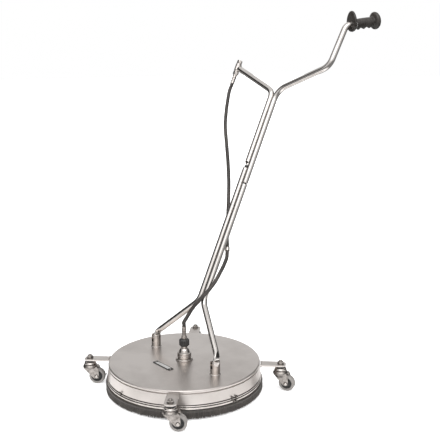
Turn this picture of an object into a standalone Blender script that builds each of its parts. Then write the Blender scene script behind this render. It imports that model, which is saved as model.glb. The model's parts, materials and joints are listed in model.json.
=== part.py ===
"""Pressure-fed rotary surface cleaner: a spun steel deck on four castors, with a spray rotor
under it and a two-part tubular handle. Metres, +Z up, +X along the handle's hinge axis,
+Y towards the operator. The floor is at Z = 0."""

import math

import bmesh
import bpy
from mathutils import Euler, Vector

# ---------------------------------------------------------------- driving dimensions
GAP = 0.0003            # between two pieces that touch on the real machine
DECK_AXIS = (-0.0077, -0.1905)   # puts the origin under the middle of the whole machine

DECK_RADIUS = 0.260
DECK_HEIGHT = 0.098     # top plate above the floor
DECK_WALL = 0.002
RIM_RADIUS = 0.005
SKIRT_FLARE = 0.0035
SEAM_HEIGHT = 0.0486    # rolled bead above the clamp bands
SKIRT_FOOT = 0.0335

BRUSH_FOOT = 0.0046
BRUSH_OUT = 0.008       # the brush ring stands this far outside the skirt
BAND_SPLIT = 0.041
BAND_THICK = 0.003

CASTOR_REACH = 0.072    # from the deck's side out to the castors' swivel axes
CASTOR_CIRCLE = DECK_RADIUS + CASTOR_REACH
CASTOR_COUNT = 4
CASTOR_REST = (26.0, 40.0, 47.0, 46.0)   # degrees, the way each castor trails at rest
WHEEL_RADIUS = 0.028
WHEEL_WIDTH = 0.022
TRAIL = 0.024
ARM_WIDTH = 0.039
ARM_THICK = 0.005
ARM_TOP = 0.092
ARM_OVERHANG = 0.018
KING_RADIUS = 0.006

ROTOR_HEIGHT = 0.056
ROTOR_REACH = 0.222
SHAFT_RADIUS = 0.0097
SPRAY_TUBE_RADIUS = 0.007

SOCKET_SPREAD = 0.166   # from the deck's axis to each handle socket
SOCKET_RADIUS = 0.0165
SOCKET_HEIGHT = 0.045
PIVOT_ABOVE_DECK = 0.035
SLOT_WIDTH = 0.0106
SLOT_DEPTH = 0.025
PIVOT_BOLT_RADIUS = 0.005

LEAN = 25.75            # degrees back from upright at rest
TUBE_RADIUS = 0.0105
TUBE_WALL = 0.0018
TONGUE_THICK = 0.009
TONGUE_WIDTH = 0.026
LEG_SPREAD_TOP = 0.1768   # where the two legs meet, along the handle from its hinge
FOLD_ALONG = 0.6445     # fold bolt, along the handle from its hinge
LAP_UP = 0.0215         # the left leg reaches this far above the fold bolt
LAP_DOWN = 0.0322       # the right upper tube reaches this far below it
FOLD_BOLT_RADIUS = 0.004

BRANCH_ALONG = 0.964    # where the upper tubes part
HOSE_BRANCH_RISE = 21.0   # degrees above square
GRIP_BRANCH_RISE = 24.7
INLET_REACH = 0.243     # hose fitting, sideways from the middle
GRIP_REACH = 0.216
GRIP_RISE = 0.150       # height of the grip tube's upright run
GRIP_TUBE_END = 0.118
GRIP_BACK = (0.27, 0.955, 0.13)   # way the grip points, in the upright machine's axes
GRIP_LENGTH = 0.103

HOSE_RADIUS = 0.0065
CLIP_ALONG = 0.376
CLIP_BEHIND = 0.025

SIDES = 12              # of a tube
TURN_STEPS = 24         # of a turned piece
SMALL_STEPS = 16        # of a small turned piece, such as a castor's
DECK_STEPS = 48

# ---------------------------------------------------------------- sizes that follow
TUBE_OFFSET = TUBE_RADIUS + GAP / 2
PIVOT_HEIGHT = DECK_HEIGHT + PIVOT_ABOVE_DECK
SKIRT_RADIUS = DECK_RADIUS + SKIRT_FLARE
AXLE_HEIGHT = WHEEL_RADIUS
FORK_INNER = WHEEL_WIDTH / 2 + 0.002
FORK_OUTER = FORK_INNER + 0.0025
CROWN_FOOT = 2 * WHEEL_RADIUS + 0.0035
CROWN_TOP = CROWN_FOOT + 0.011
ARM_FOOT = ARM_TOP - ARM_THICK
BRANCH_CORNER_LEFT = (-TUBE_OFFSET, 0.0, BRANCH_ALONG - 0.003)
BRANCH_CORNER_RIGHT = (TUBE_OFFSET, 0.0, BRANCH_ALONG + 0.003)


def clear_scene():
    for obj in list(bpy.data.objects):
        bpy.data.objects.remove(obj, do_unlink=True)


def new_collection(name, hidden=False):
    made = bpy.data.collections.new(name)
    bpy.context.scene.collection.children.link(made)
    made.hide_render = hidden
    return made


clear_scene()
PARTS = new_collection("surface_cleaner")
CUTTERS = new_collection("cutters", hidden=True)


# ---------------------------------------------------------------- materials
def material(name, colour, roughness, metallic):
    made = bpy.data.materials.new(name)
    made.use_nodes = True
    shader = made.node_tree.nodes["Principled BSDF"]
    shader.inputs["Base Color"].default_value = (*colour, 1.0)
    shader.inputs["Roughness"].default_value = roughness
    shader.inputs["Metallic"].default_value = metallic
    return made


STEEL = material("brushed_steel", (0.56, 0.54, 0.52), 0.35, 1.0)
BRIGHT = material("bright_steel", (0.75, 0.74, 0.72), 0.18, 1.0)
ZINC = material("zinc_plate", (0.50, 0.49, 0.48), 0.35, 1.0)
BRISTLE = material("black_bristle", (0.03, 0.03, 0.03), 0.8, 0.0)
TYRE = material("grey_tyre", (0.30, 0.28, 0.27), 0.6, 0.0)
PLASTIC = material("black_plastic", (0.03, 0.03, 0.03), 0.45, 0.0)
RUBBER = material("hose_rubber", (0.02, 0.02, 0.02), 0.55, 0.0)
BRASS = material("brass", (0.60, 0.45, 0.20), 0.3, 1.0)


# ---------------------------------------------------------------- building tools
def empty(name, parent, location, rotation=(0.0, 0.0, 0.0)):
    made = bpy.data.objects.new(name, None)
    made.parent = parent
    made.location = location
    made.rotation_euler = rotation
    PARTS.objects.link(made)
    return made


def place(name, mesh, surface, parent, location=(0.0, 0.0, 0.0), rotation=(0.0, 0.0, 0.0)):
    """One sub-part: a mesh, or a curve, under its parent with its material."""
    made = bpy.data.objects.new(name, mesh)
    if not mesh.materials:
        mesh.materials.append(surface)
    made.parent = parent
    made.location = location
    made.rotation_euler = rotation
    PARTS.objects.link(made)
    return made


def cutter(name, mesh, parent, location=(0.0, 0.0, 0.0), rotation=(0.0, 0.0, 0.0)):
    made = bpy.data.objects.new(name, mesh)
    made.parent = parent
    made.location = location
    made.rotation_euler = rotation
    made.hide_render = True
    made.display_type = "WIRE"
    CUTTERS.objects.link(made)
    return made


def boolean(target, other, operation):
    modifier = target.modifiers.new(operation.lower() + "_" + other.name, "BOOLEAN")
    modifier.operation = operation
    modifier.solver = "EXACT"
    modifier.object = other
    return modifier


def smooth(mesh, angle=35.0):
    mesh.shade_smooth()
    mesh.set_sharp_from_angle(angle=math.radians(angle))
    return mesh


def baked(objects):
    """The first object's evaluated mesh. All of the objects are removed."""
    bpy.context.view_layer.update()
    graph = bpy.context.evaluated_depsgraph_get()
    mesh = bpy.data.meshes.new_from_object(objects[0].evaluated_get(graph))
    for obj in objects:
        bpy.data.objects.remove(obj, do_unlink=True)
    return smooth(mesh)


def turned_mesh(name, profile, steps=TURN_STEPS, loop=False):
    """A profile of (radius, height) turned about Z, read top to bottom on its outer side."""
    mesh = bpy.data.meshes.new(name)
    points = [(radius, 0.0, height) for radius, height in profile]
    edges = [(i, i + 1) for i in range(len(points) - 1)]
    if loop:
        edges.append((len(points) - 1, 0))
    mesh.from_pydata(points, edges, [])
    made = bpy.data.objects.new(name, mesh)
    PARTS.objects.link(made)
    screw = made.modifiers.new("turn", "SCREW")
    screw.axis = "Z"
    screw.steps = steps
    screw.render_steps = steps
    screw.use_merge_vertices = True
    screw.merge_threshold = 0.00001
    return baked([made])


def box_mesh(name, low, high):
    mesh = bpy.data.meshes.new(name)
    shape = bmesh.new()
    bmesh.ops.create_cube(shape, size=1.0)
    middle = (Vector(low) + Vector(high)) / 2
    size = Vector(high) - Vector(low)
    for vertex in shape.verts:
        vertex.co = Vector([vertex.co[i] * size[i] for i in range(3)]) + middle
    shape.to_mesh(mesh)
    shape.free()
    return mesh


def prism_mesh(name, radius, low, high, segments=TURN_STEPS):
    """A round or hexagonal bar along Z."""
    mesh = bpy.data.meshes.new(name)
    shape = bmesh.new()
    bmesh.ops.create_cone(
        shape, cap_ends=True, segments=segments, radius1=radius, radius2=radius, depth=high - low
    )
    bmesh.ops.translate(shape, verts=shape.verts, vec=(0.0, 0.0, (high + low) / 2))
    shape.to_mesh(mesh)
    shape.free()
    return mesh


def joined_mesh(name, first, others, cuts=()):
    """The union of several closed meshes, less the cuts."""
    base = bpy.data.objects.new(name, first)
    PARTS.objects.link(base)
    used = [base]
    for i, mesh in enumerate(others):
        used.append(cutter(f"{name}_add_{i}", mesh, None))
        boolean(base, used[-1], "UNION")
    for i, mesh in enumerate(cuts):
        used.append(cutter(f"{name}_cut_{i}", mesh, None))
        boolean(base, used[-1], "DIFFERENCE")
    return baked(used)


def turned_round(mesh, rotation, move=(0.0, 0.0, 0.0)):
    """The mesh itself turned, then moved."""
    matrix = Euler(rotation).to_matrix().to_4x4()
    matrix.translation = Vector(move)
    mesh.transform(matrix)
    return mesh


ALONG_X = (0.0, math.radians(90.0), 0.0)
ALONG_Y = (math.radians(-90.0), 0.0, 0.0)


def bent_path(corners, radii, arc_step=math.radians(15.0)):
    """Straight runs through the corners, each inner corner rounded to its radius."""
    points = [Vector(corners[0])]
    for i in range(1, len(corners) - 1):
        corner = Vector(corners[i])
        before = (corner - Vector(corners[i - 1])).normalized()
        after = (Vector(corners[i + 1]) - corner).normalized()
        turn = before.angle(after)
        reach = radii[i - 1] * math.tan(turn / 2)
        start = corner - before * reach
        side = (after - before * before.dot(after)).normalized()
        centre = start + side * radii[i - 1]
        steps = max(2, math.ceil(turn / arc_step))
        for k in range(steps + 1):
            angle = turn * k / steps
            points.append(centre + (before * math.sin(angle) - side * math.cos(angle)) * radii[i - 1])
    points.append(Vector(corners[-1]))
    return points


def swept_rings(path, sizes, across, slant=0.0):
    """Rings of points round a path. sizes gives each ring's half widths: across the path in
    the direction across, and square to that. slant shears the first ring's plane."""
    rings = []
    side = Vector(across).normalized()
    for i, point in enumerate(path):
        ahead = path[min(i + 1, len(path) - 1)] - path[max(i - 1, 0)]
        ahead.normalize()
        side = (side - ahead * side.dot(ahead)).normalized()
        square = ahead.cross(side)
        wide, deep = sizes[i]
        ring = []
        for k in range(SIDES):
            angle = 2 * math.pi * (k + 0.5) / SIDES
            offset = side * math.cos(angle) * wide + square * math.sin(angle) * deep
            if i == 0 and slant:
                offset = offset + ahead * slant * offset.dot(square)
            ring.append(point + offset)
        rings.append(ring)
    return rings


def rings_mesh(name, rings, through):
    """Skins the rings in turn. A through tube joins its last ring to its first."""
    points = [point for ring in rings for point in ring]
    faces = []
    count = len(rings)
    for i in range(count if through else count - 1):
        here = i * SIDES
        there = ((i + 1) % count) * SIDES
        for k in range(SIDES):
            after = (k + 1) % SIDES
            faces.append((here + k, here + after, there + after, there + k))
    if not through:
        faces.append(tuple(reversed(range(SIDES))))
        faces.append(tuple((count - 1) * SIDES + k for k in range(SIDES)))
    mesh = bpy.data.meshes.new(name)
    mesh.from_pydata([tuple(point) for point in points], [], faces)
    shape = bmesh.new()
    shape.from_mesh(mesh)
    bmesh.ops.recalc_face_normals(shape, faces=shape.faces)
    shape.to_mesh(mesh)
    shape.free()
    return smooth(mesh, 50.0)


def tube_mesh(name, path, across, sizes=None, bore_from=None, slant=0.0):
    """A tube along a path. bore_from is the ring at which a blind bore starts: without it
    the bore goes right through."""
    if sizes is None:
        sizes = [(TUBE_RADIUS, TUBE_RADIUS)] * len(path)
    outer = swept_rings(path, sizes, across, slant)
    first = 0 if bore_from is None else bore_from
    inner_sizes = [(wide - TUBE_WALL, deep - TUBE_WALL) for wide, deep in sizes]
    inner = swept_rings(path, inner_sizes, across, slant)[first:]
    return rings_mesh(name, outer + inner[::-1], bore_from is None)


def flat_mesh(name, outlines, thickness):
    """A plate in XY from closed outlines, the later ones being holes in the first."""
    curve = bpy.data.curves.new(name, "CURVE")
    curve.dimensions = "2D"
    curve.fill_mode = "BOTH"
    curve.extrude = thickness / 2
    for outline in outlines:
        spline = curve.splines.new("POLY")
        spline.points.add(len(outline) - 1)
        for point, (x, y) in zip(spline.points, outline):
            point.co = (x, y, 0.0, 1.0)
        spline.use_cyclic_u = True
    made = bpy.data.objects.new(name, curve)
    PARTS.objects.link(made)
    mesh = baked([made])
    shape = bmesh.new()
    shape.from_mesh(mesh)
    bmesh.ops.remove_doubles(shape, verts=shape.verts, dist=0.00001)
    bmesh.ops.recalc_face_normals(shape, faces=shape.faces)
    shape.to_mesh(mesh)
    shape.free()
    return mesh


def circle(radius, count=TURN_STEPS, centre=(0.0, 0.0)):
    angles = [2 * math.pi * k / count for k in range(count)]
    return [(centre[0] + radius * math.cos(a), centre[1] + radius * math.sin(a)) for a in angles]


# ---------------------------------------------------------------- deck
ROOT = empty("machine", None, (*DECK_AXIS, 0.0))
HUB_HOLE = 0.0125


def rim_arc(radius, steps=4):
    """The rounded edge of the top plate, from its flat to the skirt."""
    centre = (DECK_RADIUS - RIM_RADIUS, DECK_HEIGHT - RIM_RADIUS)
    angles = [math.pi / 2 * (1 - k / steps) for k in range(steps + 1)]
    return [(centre[0] + radius * math.cos(a), centre[1] + radius * math.sin(a)) for a in angles]


def deck_housing():
    outer = [(HUB_HOLE, DECK_HEIGHT)] + rim_arc(RIM_RADIUS)
    outer += [
        (SKIRT_RADIUS, SEAM_HEIGHT + 0.0015),
        (SKIRT_RADIUS + 0.0015, SEAM_HEIGHT),
        (SKIRT_RADIUS - 0.001, SEAM_HEIGHT - 0.0015),
        (SKIRT_RADIUS - 0.001, SKIRT_FOOT),
    ]
    inner = [
        (SKIRT_RADIUS - 0.001 - DECK_WALL, SKIRT_FOOT),
        (SKIRT_RADIUS - 0.001 - DECK_WALL, SEAM_HEIGHT),
    ]
    inner += rim_arc(RIM_RADIUS - DECK_WALL)[::-1] + [(HUB_HOLE, DECK_HEIGHT - DECK_WALL)]
    place("deck_housing", turned_mesh("deck_housing", outer + inner, DECK_STEPS, True), STEEL, ROOT)


def ring(name, inner, outer, low, high, surface):
    profile = [(inner, high), (outer, high), (outer, low), (inner, low)]
    return place(name, turned_mesh(name, profile, DECK_STEPS, True), surface, ROOT)


BAND_INNER = SKIRT_RADIUS - 0.001 + GAP
BAND_OUTER = BAND_INNER + BAND_THICK


def bands_and_brush():
    ring("brush_carrier", BAND_INNER, BAND_OUTER - 0.001, BAND_SPLIT + GAP, SEAM_HEIGHT - 0.0018, STEEL)
    band = ring("clamp_band", BAND_INNER, BAND_OUTER, SKIRT_FOOT, BAND_SPLIT, BRIGHT)
    slit = cutter(
        "clamp_band_slit",
        box_mesh("clamp_band_slit", (BAND_INNER - 0.01, -0.002, 0.0), (BAND_OUTER + 0.01, 0.002, 0.06)),
        ROOT,
    )
    boolean(band, slit, "DIFFERENCE")
    top = SKIRT_FOOT - GAP
    ring("brush_ring", SKIRT_RADIUS - 0.003, DECK_RADIUS + BRUSH_OUT + 0.003, BRUSH_FOOT, top, BRISTLE)


def band_clamp():
    """Two lugs on the band's ends, drawn together by one bolt."""
    near = BAND_OUTER + GAP
    far = near + 0.0075
    middle = (BAND_SPLIT + SKIRT_FOOT) / 2
    lugs = [
        box_mesh("lug", (near, side * 0.009 - 0.002, SKIRT_FOOT + 0.0005), (far, side * 0.009 + 0.002, BAND_SPLIT))
        for side in (-1, 1)
    ]
    bolt = turned_round(prism_mesh("bolt", 0.0019, -0.015, 0.015, 12), ALONG_Y, ((near + far) / 2, 0.0, middle))
    head = turned_round(prism_mesh("head", 0.0032, -0.0165, -0.0125, 6), ALONG_Y, ((near + far) / 2, 0.0, middle))
    place("band_clamp", joined_mesh("band_clamp", lugs[0], [bolt, lugs[1], head]), BRIGHT, ROOT)


def name_plate():
    low = (-0.0475, -0.101, DECK_HEIGHT + GAP)
    high = (0.0475, -0.081, DECK_HEIGHT + GAP + 0.0015)
    place("name_plate", box_mesh("name_plate", low, high), STEEL, ROOT)


# ---------------------------------------------------------------- rotary union and hose end
BEARING_BORE = 0.0173
BODY_FOOT = DECK_HEIGHT + 0.0065
BODY_TOP = DECK_HEIGHT + 0.048
NUT_TOP = BODY_TOP + 0.027
FERRULE_TOP = NUT_TOP + 0.0447


def swivel():
    flange = [
        (HUB_HOLE, BODY_FOOT - GAP), (0.0275, BODY_FOOT - GAP), (0.030, BODY_FOOT - 0.0025),
        (0.030, DECK_HEIGHT + GAP), (HUB_HOLE, DECK_HEIGHT + GAP),
    ]
    place("swivel_flange", turned_mesh("swivel_flange", flange, TURN_STEPS, True), BRIGHT, ROOT)
    body = [
        (0.0, BODY_TOP), (0.0095, BODY_TOP), (0.0105, BODY_TOP - 0.001), (0.0105, BODY_TOP - 0.006),
        (0.013, BODY_TOP - 0.008), (0.017, BODY_TOP - 0.014), (0.0195, BODY_TOP - 0.022),
        (0.024, BODY_TOP - 0.023), (0.024, BODY_FOOT + 0.001), (0.023, BODY_FOOT),
        (BEARING_BORE, BODY_FOOT), (BEARING_BORE, BODY_FOOT + 0.013), (SHAFT_RADIUS + 0.0005, BODY_FOOT + 0.013),
        (SHAFT_RADIUS + 0.0005, BODY_TOP - 0.013), (0.0, BODY_TOP - 0.013),
    ]
    place("swivel_body", turned_mesh("swivel_body", body), BRIGHT, ROOT)
    low = BODY_FOOT + 0.001
    high = BODY_FOOT + 0.013 - GAP
    bearing = [
        (SHAFT_RADIUS + GAP, high), (BEARING_BORE - GAP, high),
        (BEARING_BORE - GAP, low), (SHAFT_RADIUS + GAP, low),
    ]
    place("swivel_bearing", turned_mesh("swivel_bearing", bearing, TURN_STEPS, True), BRIGHT, ROOT)
    low = BODY_TOP + GAP
    nut = [
        (0.0, NUT_TOP), (0.0135, NUT_TOP), (0.0175, NUT_TOP - 0.004),
        (0.0175, low + 0.004), (0.0145, low), (0.0, low),
    ]
    place("coupling_nut", turned_mesh("coupling_nut", nut), PLASTIC, ROOT)
    ferrule = [
        (0.0, FERRULE_TOP), (0.0068, FERRULE_TOP), (0.0078, FERRULE_TOP - 0.002),
        (0.0078, NUT_TOP + 0.012), (0.0092, NUT_TOP + 0.010), (0.0092, NUT_TOP + GAP), (0.0, NUT_TOP + GAP),
    ]
    place("hose_ferrule_lower", turned_mesh("hose_ferrule_lower", ferrule), BRIGHT, ROOT)


# ---------------------------------------------------------------- spray rotor
def rotor():
    axis = empty("rotor_axis", ROOT, (0.0, 0.0, ROTOR_HEIGHT))
    top = BODY_TOP - 0.015 - ROTOR_HEIGHT
    profile = [
        (0.0, top), (SHAFT_RADIUS, top), (SHAFT_RADIUS, 0.010), (0.020, 0.010),
        (0.022, 0.008), (0.022, -0.008), (0.020, -0.010), (0.0, -0.010),
    ]
    place("rotor_hub", turned_mesh("rotor_hub", profile), BRIGHT, axis)
    for name, way in (("left", -1), ("right", 1)):
        start = Vector((way * (0.022 + GAP), 0.0, 0.0))
        end = Vector((way * (ROTOR_REACH + 0.010), 0.0, 0.0))
        rings = swept_rings([start, end], [(SPRAY_TUBE_RADIUS,) * 2] * 2, (0.0, 1.0, 0.0))
        place(f"spray_arm_{name}", rings_mesh(f"spray_arm_{name}", rings, False), BRIGHT, axis)
        nozzle = [
            (0.0, -SPRAY_TUBE_RADIUS - GAP), (0.0065, -SPRAY_TUBE_RADIUS - GAP),
            (0.0065, -0.018), (0.0045, -0.0225), (0.0, -0.0225),
        ]
        mesh = turned_mesh(f"nozzle_{name}", nozzle, SMALL_STEPS)
        place(f"nozzle_{name}", mesh, BRASS, axis, (way * ROTOR_REACH, 0.0, 0.0))


# ---------------------------------------------------------------- castors
def arm_mesh():
    """A flat bar from the skirt outwards, along X, with its outer corners cut back."""
    inner = DECK_RADIUS + SKIRT_FLARE + GAP
    outer = CASTOR_CIRCLE + ARM_OVERHANG
    half = ARM_WIDTH / 2
    bevel = 0.009
    outline = [(outer - bevel, -half), (outer, -half + bevel), (outer, half - bevel), (outer - bevel, half)]
    steps = 6
    for k in range(steps + 1):
        y = half - ARM_WIDTH * k / steps
        outline.append((math.sqrt(inner * inner - y * y), y))
    hole = circle(KING_RADIUS + GAP, SMALL_STEPS, (CASTOR_CIRCLE, 0.0))
    return flat_mesh("castor_arm", [outline, hole], ARM_THICK)


def king_bolt_mesh():
    """Rivet head under the fork, shank, washer, nut and a rounded end above the arm."""
    low = CROWN_FOOT - GAP
    high = ARM_TOP + GAP
    profile = [
        (0.0, high + 0.0135), (0.003, high + 0.013), (0.005, high + 0.011), (0.005, high + 0.0075),
        (0.0075, high + 0.0075), (0.0075, high + 0.0018), (0.012, high + 0.0018), (0.012, high),
        (KING_RADIUS, high), (KING_RADIUS, low), (0.009, low), (0.007, low - 0.003), (0.0, low - 0.003),
    ]
    nut = prism_mesh("nut", 0.0105, high + 0.001, high + 0.0085, 6)
    return joined_mesh("king_bolt", turned_mesh("king_bolt", profile, SMALL_STEPS), [nut])


def race_mesh():
    """The bearing's dark collar and its domed steel cap, under the arm."""
    low = CROWN_TOP + GAP
    high = ARM_FOOT - GAP
    inner = KING_RADIUS + GAP
    profile = [
        (inner, high), (0.0165, high), (0.0175, high - 0.002), (0.0165, high - 0.006),
        (0.0195, high - 0.010), (0.0210, low + 0.001), (0.0205, low), (inner, low),
    ]
    return turned_mesh("castor_race", profile, SMALL_STEPS, True)


def fork_mesh():
    """A pressed crown with two legs that taper to the axle, TRAIL behind the swivel axis."""
    inner = KING_RADIUS + GAP
    crown = [
        (inner, CROWN_TOP), (0.0215, CROWN_TOP), (0.0215, CROWN_TOP - 0.004), (0.025, CROWN_TOP - 0.006),
        (0.0265, CROWN_FOOT + 0.001), (0.0255, CROWN_FOOT), (inner, CROWN_FOOT),
    ]
    axle = (TRAIL, AXLE_HEIGHT)
    top = CROWN_FOOT + 0.003
    foot = 0.0075
    arc = [math.radians(200.0 + 160.0 * k / 6) for k in range(7)]
    outline = [(0.0255, top), (-0.019, top), (-0.021, CROWN_FOOT - 0.001)]
    outline += [(axle[0] + foot * math.cos(a), axle[1] + foot * math.sin(a)) for a in arc]
    outline += [(0.0305, CROWN_FOOT - 0.004)]
    hole = circle(0.0030 + GAP, 12, axle)
    legs = []
    for side in (-1, 1):
        leg = flat_mesh("fork_leg", [outline, hole], FORK_OUTER - FORK_INNER)
        middle = side * (FORK_OUTER + FORK_INNER) / 2
        legs.append(turned_round(leg, (math.radians(90.0), 0.0, 0.0), (0.0, middle, 0.0)))
    tab = box_mesh("tab", (0.021, -0.008, CROWN_FOOT + 0.0005), (0.0325, 0.008, CROWN_FOOT + 0.004))
    return joined_mesh("castor_fork", turned_mesh("crown", crown, SMALL_STEPS, True), legs + [tab])


def wheel_meshes():
    """Tyre, hub and axle bolt, about Y through the axle."""
    half = WHEEL_WIDTH / 2
    seat = WHEEL_RADIUS - 0.0085
    tyre = [
        (seat, half - 0.0005), (WHEEL_RADIUS - 0.004, half), (WHEEL_RADIUS - 0.001, half - 0.003),
        (WHEEL_RADIUS, half - 0.006), (WHEEL_RADIUS, -half + 0.006), (WHEEL_RADIUS - 0.001, -half + 0.003),
        (WHEEL_RADIUS - 0.004, -half), (seat, -half + 0.0005),
    ]
    bore = 0.0030 + GAP
    hub = [
        (bore, half + 0.001), (0.007, half + 0.001), (0.0085, half - 0.003), (seat - 0.005, half - 0.003),
        (seat - GAP, half - 0.001), (seat - GAP, -half + 0.001), (seat - 0.005, -half + 0.003),
        (0.0085, -half + 0.003), (0.007, -half - 0.001), (bore, -half - 0.001),
    ]
    side = FORK_OUTER + GAP
    axle = [
        (0.0, side + 0.004), (0.0035, side + 0.004), (0.0055, side + 0.0025), (0.0055, side), (0.0030, side),
        (0.0030, -side), (0.0055, -side), (0.0055, -side - 0.0025), (0.0035, -side - 0.004), (0.0, -side - 0.004),
    ]
    return (
        turned_round(turned_mesh("castor_tyre", tyre, TURN_STEPS, True), ALONG_Y),
        turned_round(turned_mesh("castor_hub", hub, SMALL_STEPS, True), ALONG_Y),
        turned_round(turned_mesh("castor_axle", axle, 12), ALONG_Y),
    )


def castors():
    arm = arm_mesh()
    bolt = king_bolt_mesh()
    race = race_mesh()
    fork = fork_mesh()
    tyre, hub, axle = wheel_meshes()
    for i in range(CASTOR_COUNT):
        turn = math.radians(45.0 + 360.0 * i / CASTOR_COUNT)
        spot = (CASTOR_CIRCLE * math.cos(turn), CASTOR_CIRCLE * math.sin(turn), 0.0)
        number = i + 1
        place(f"castor_arm_{number}", arm, STEEL, ROOT, (0.0, 0.0, ARM_TOP - ARM_THICK / 2), (0.0, 0.0, turn))
        place(f"castor_bolt_{number}", bolt, ZINC, ROOT, spot, (0.0, 0.0, turn))
        place(f"castor_race_{number}", race, ZINC, ROOT, spot)
        trail = math.radians(CASTOR_REST[i])
        swivel_axis = empty(f"castor_swivel_{number}", ROOT, spot, (0.0, 0.0, trail))
        place(f"castor_fork_{number}", fork, ZINC, swivel_axis)
        wheel_axis = empty(f"castor_roll_{number}", swivel_axis, (TRAIL, 0.0, AXLE_HEIGHT))
        place(f"castor_axle_{number}", axle, ZINC, wheel_axis)
        place(f"castor_hub_{number}", hub, PLASTIC, wheel_axis)
        place(f"castor_tyre_{number}", tyre, TYRE, wheel_axis)


# ---------------------------------------------------------------- handle sockets
def sockets():
    top = DECK_HEIGHT + SOCKET_HEIGHT
    for name, way in (("left", -1), ("right", 1)):
        profile = [
            (0.0, top), (SOCKET_RADIUS - 0.0015, top), (SOCKET_RADIUS, top - 0.0015),
            (SOCKET_RADIUS, DECK_HEIGHT + GAP), (0.0, DECK_HEIGHT + GAP),
        ]
        slot = box_mesh("slot", (-SLOT_WIDTH / 2, -0.03, top - SLOT_DEPTH), (SLOT_WIDTH / 2, 0.03, top + 0.01))
        hole = turned_round(
            prism_mesh("hole", PIVOT_BOLT_RADIUS + GAP, -0.03, 0.03, SMALL_STEPS), ALONG_X, (0.0, 0.0, PIVOT_HEIGHT)
        )
        mesh = joined_mesh(f"socket_{name}", turned_mesh("socket", profile), [], [slot, hole])
        spot = (way * SOCKET_SPREAD, 0.0, 0.0)
        place(f"handle_socket_{name}", mesh, STEEL, ROOT, spot)
        reach = SOCKET_RADIUS + GAP
        bolt = prism_mesh("bolt", PIVOT_BOLT_RADIUS, -reach - 0.004, reach + 0.010, SMALL_STEPS)
        head = prism_mesh("head", 0.0088, -reach - 0.0065, -reach, 6)
        nut = prism_mesh("nut", 0.0088, reach, reach + 0.0080, 6)
        mesh = turned_round(joined_mesh(f"pivot_bolt_{name}", bolt, [head, nut]), ALONG_X)
        place(f"pivot_bolt_{name}", mesh, ZINC, ROOT, (*spot[:2], PIVOT_HEIGHT), (0.0, 0.0, 0.0 if way > 0 else math.pi))


# ---------------------------------------------------------------- handle
HANDLE = empty("handle_hinge", ROOT, (0.0, 0.0, PIVOT_HEIGHT), (math.radians(-LEAN), 0.0, 0.0))
FOLD = empty("handle_fold", HANDLE, (0.0, 0.0, FOLD_ALONG))
LEFT_LEG_TOP = FOLD_ALONG + LAP_UP
RIGHT_LEG_TOP = FOLD_ALONG - LAP_DOWN - 0.002


def leg(name, way, top):
    """A flattened and rounded tongue in the socket, a bend inwards, then the long run."""
    corner = LEG_SPREAD_TOP - (SOCKET_SPREAD - TUBE_OFFSET)
    path = bent_path(
        [
            (way * SOCKET_SPREAD, 0.0, 0.0), (way * SOCKET_SPREAD, 0.0, corner),
            (way * TUBE_OFFSET, 0.0, LEG_SPREAD_TOP), (way * TUBE_OFFSET, 0.0, top),
        ],
        (0.015, 0.045),
    )
    end = TONGUE_WIDTH / 2
    rounding = [
        Vector((way * SOCKET_SPREAD, 0.0, -end * math.cos(math.radians(a)))) for a in (4.0, 35.0, 60.0)
    ]
    flat = (TONGUE_THICK / 2, end)
    sizes = [(TONGUE_THICK / 2, end * math.sin(math.radians(a))) for a in (12.0, 35.0, 60.0)]
    travelled = 0.0
    for i, point in enumerate(path):
        travelled += (point - path[i - 1]).length if i else 0.0
        share = min(1.0, max(0.0, (travelled - 0.020) / 0.022))
        share = share * share * (3 - 2 * share)
        sizes.append(tuple(a + (TUBE_RADIUS - a) * share for a in flat))
    bend_end = 4
    full_round = path[bend_end] + (path[bend_end + 1] - path[bend_end]).normalized() * 0.026
    path.insert(bend_end + 1, full_round)
    bore_ring = len(rounding) + bend_end + 1
    sizes.insert(bore_ring, (TUBE_RADIUS, TUBE_RADIUS))
    mesh = tube_mesh(name, rounding + path, (1.0, 0.0, 0.0), sizes, bore_from=bore_ring)
    pin_hole = prism_mesh("pin_hole", PIVOT_BOLT_RADIUS + GAP, -0.02, 0.02, SMALL_STEPS)
    holes = [turned_round(pin_hole, ALONG_X, (way * SOCKET_SPREAD, 0.0, 0.0))]
    if top > FOLD_ALONG:
        holes.append(fold_hole(FOLD_ALONG))
    place(name, joined_mesh(name, mesh, [], holes), BRIGHT, HANDLE)


def fold_hole(along):
    hole = prism_mesh("fold_hole", FOLD_BOLT_RADIUS + GAP, -0.03, 0.03, 12)
    return turned_round(hole, ALONG_X, (0.0, 0.0, along))


def fold_bolt():
    reach = 2 * TUBE_RADIUS + GAP * 1.5
    shank = prism_mesh("shank", FOLD_BOLT_RADIUS, -reach - 0.004, reach + 0.004, 12)
    head = prism_mesh("head", 0.0075, -reach - 0.0075, -reach, 6)
    nut = prism_mesh("nut", 0.0080, reach, reach + 0.0075, 6)
    mesh = turned_round(joined_mesh("fold_bolt", shank, [head, nut]), ALONG_X)
    place("fold_bolt", mesh, ZINC, FOLD)


def in_fold(points):
    return [Vector(point) - Vector((0.0, 0.0, FOLD_ALONG)) for point in points]


def hose_branch():
    """Left upper tube: cut on the slant at its foot, bent out to the hose fitting."""
    rise = math.radians(HOSE_BRANCH_RISE)
    reach = INLET_REACH - INLET_RADIUS - 0.006 - TUBE_OFFSET
    foot = (-TUBE_OFFSET, 0.0, LEFT_LEG_TOP + 0.0225)
    end = (-TUBE_OFFSET - reach, 0.0, BRANCH_CORNER_LEFT[2] + reach * math.tan(rise))
    path = in_fold(bent_path([foot, BRANCH_CORNER_LEFT, end], (0.035,)))
    place("upper_tube_left", tube_mesh("upper_tube_left", path, (1.0, 0.0, 0.0), slant=0.8), BRIGHT, FOLD)


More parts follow.
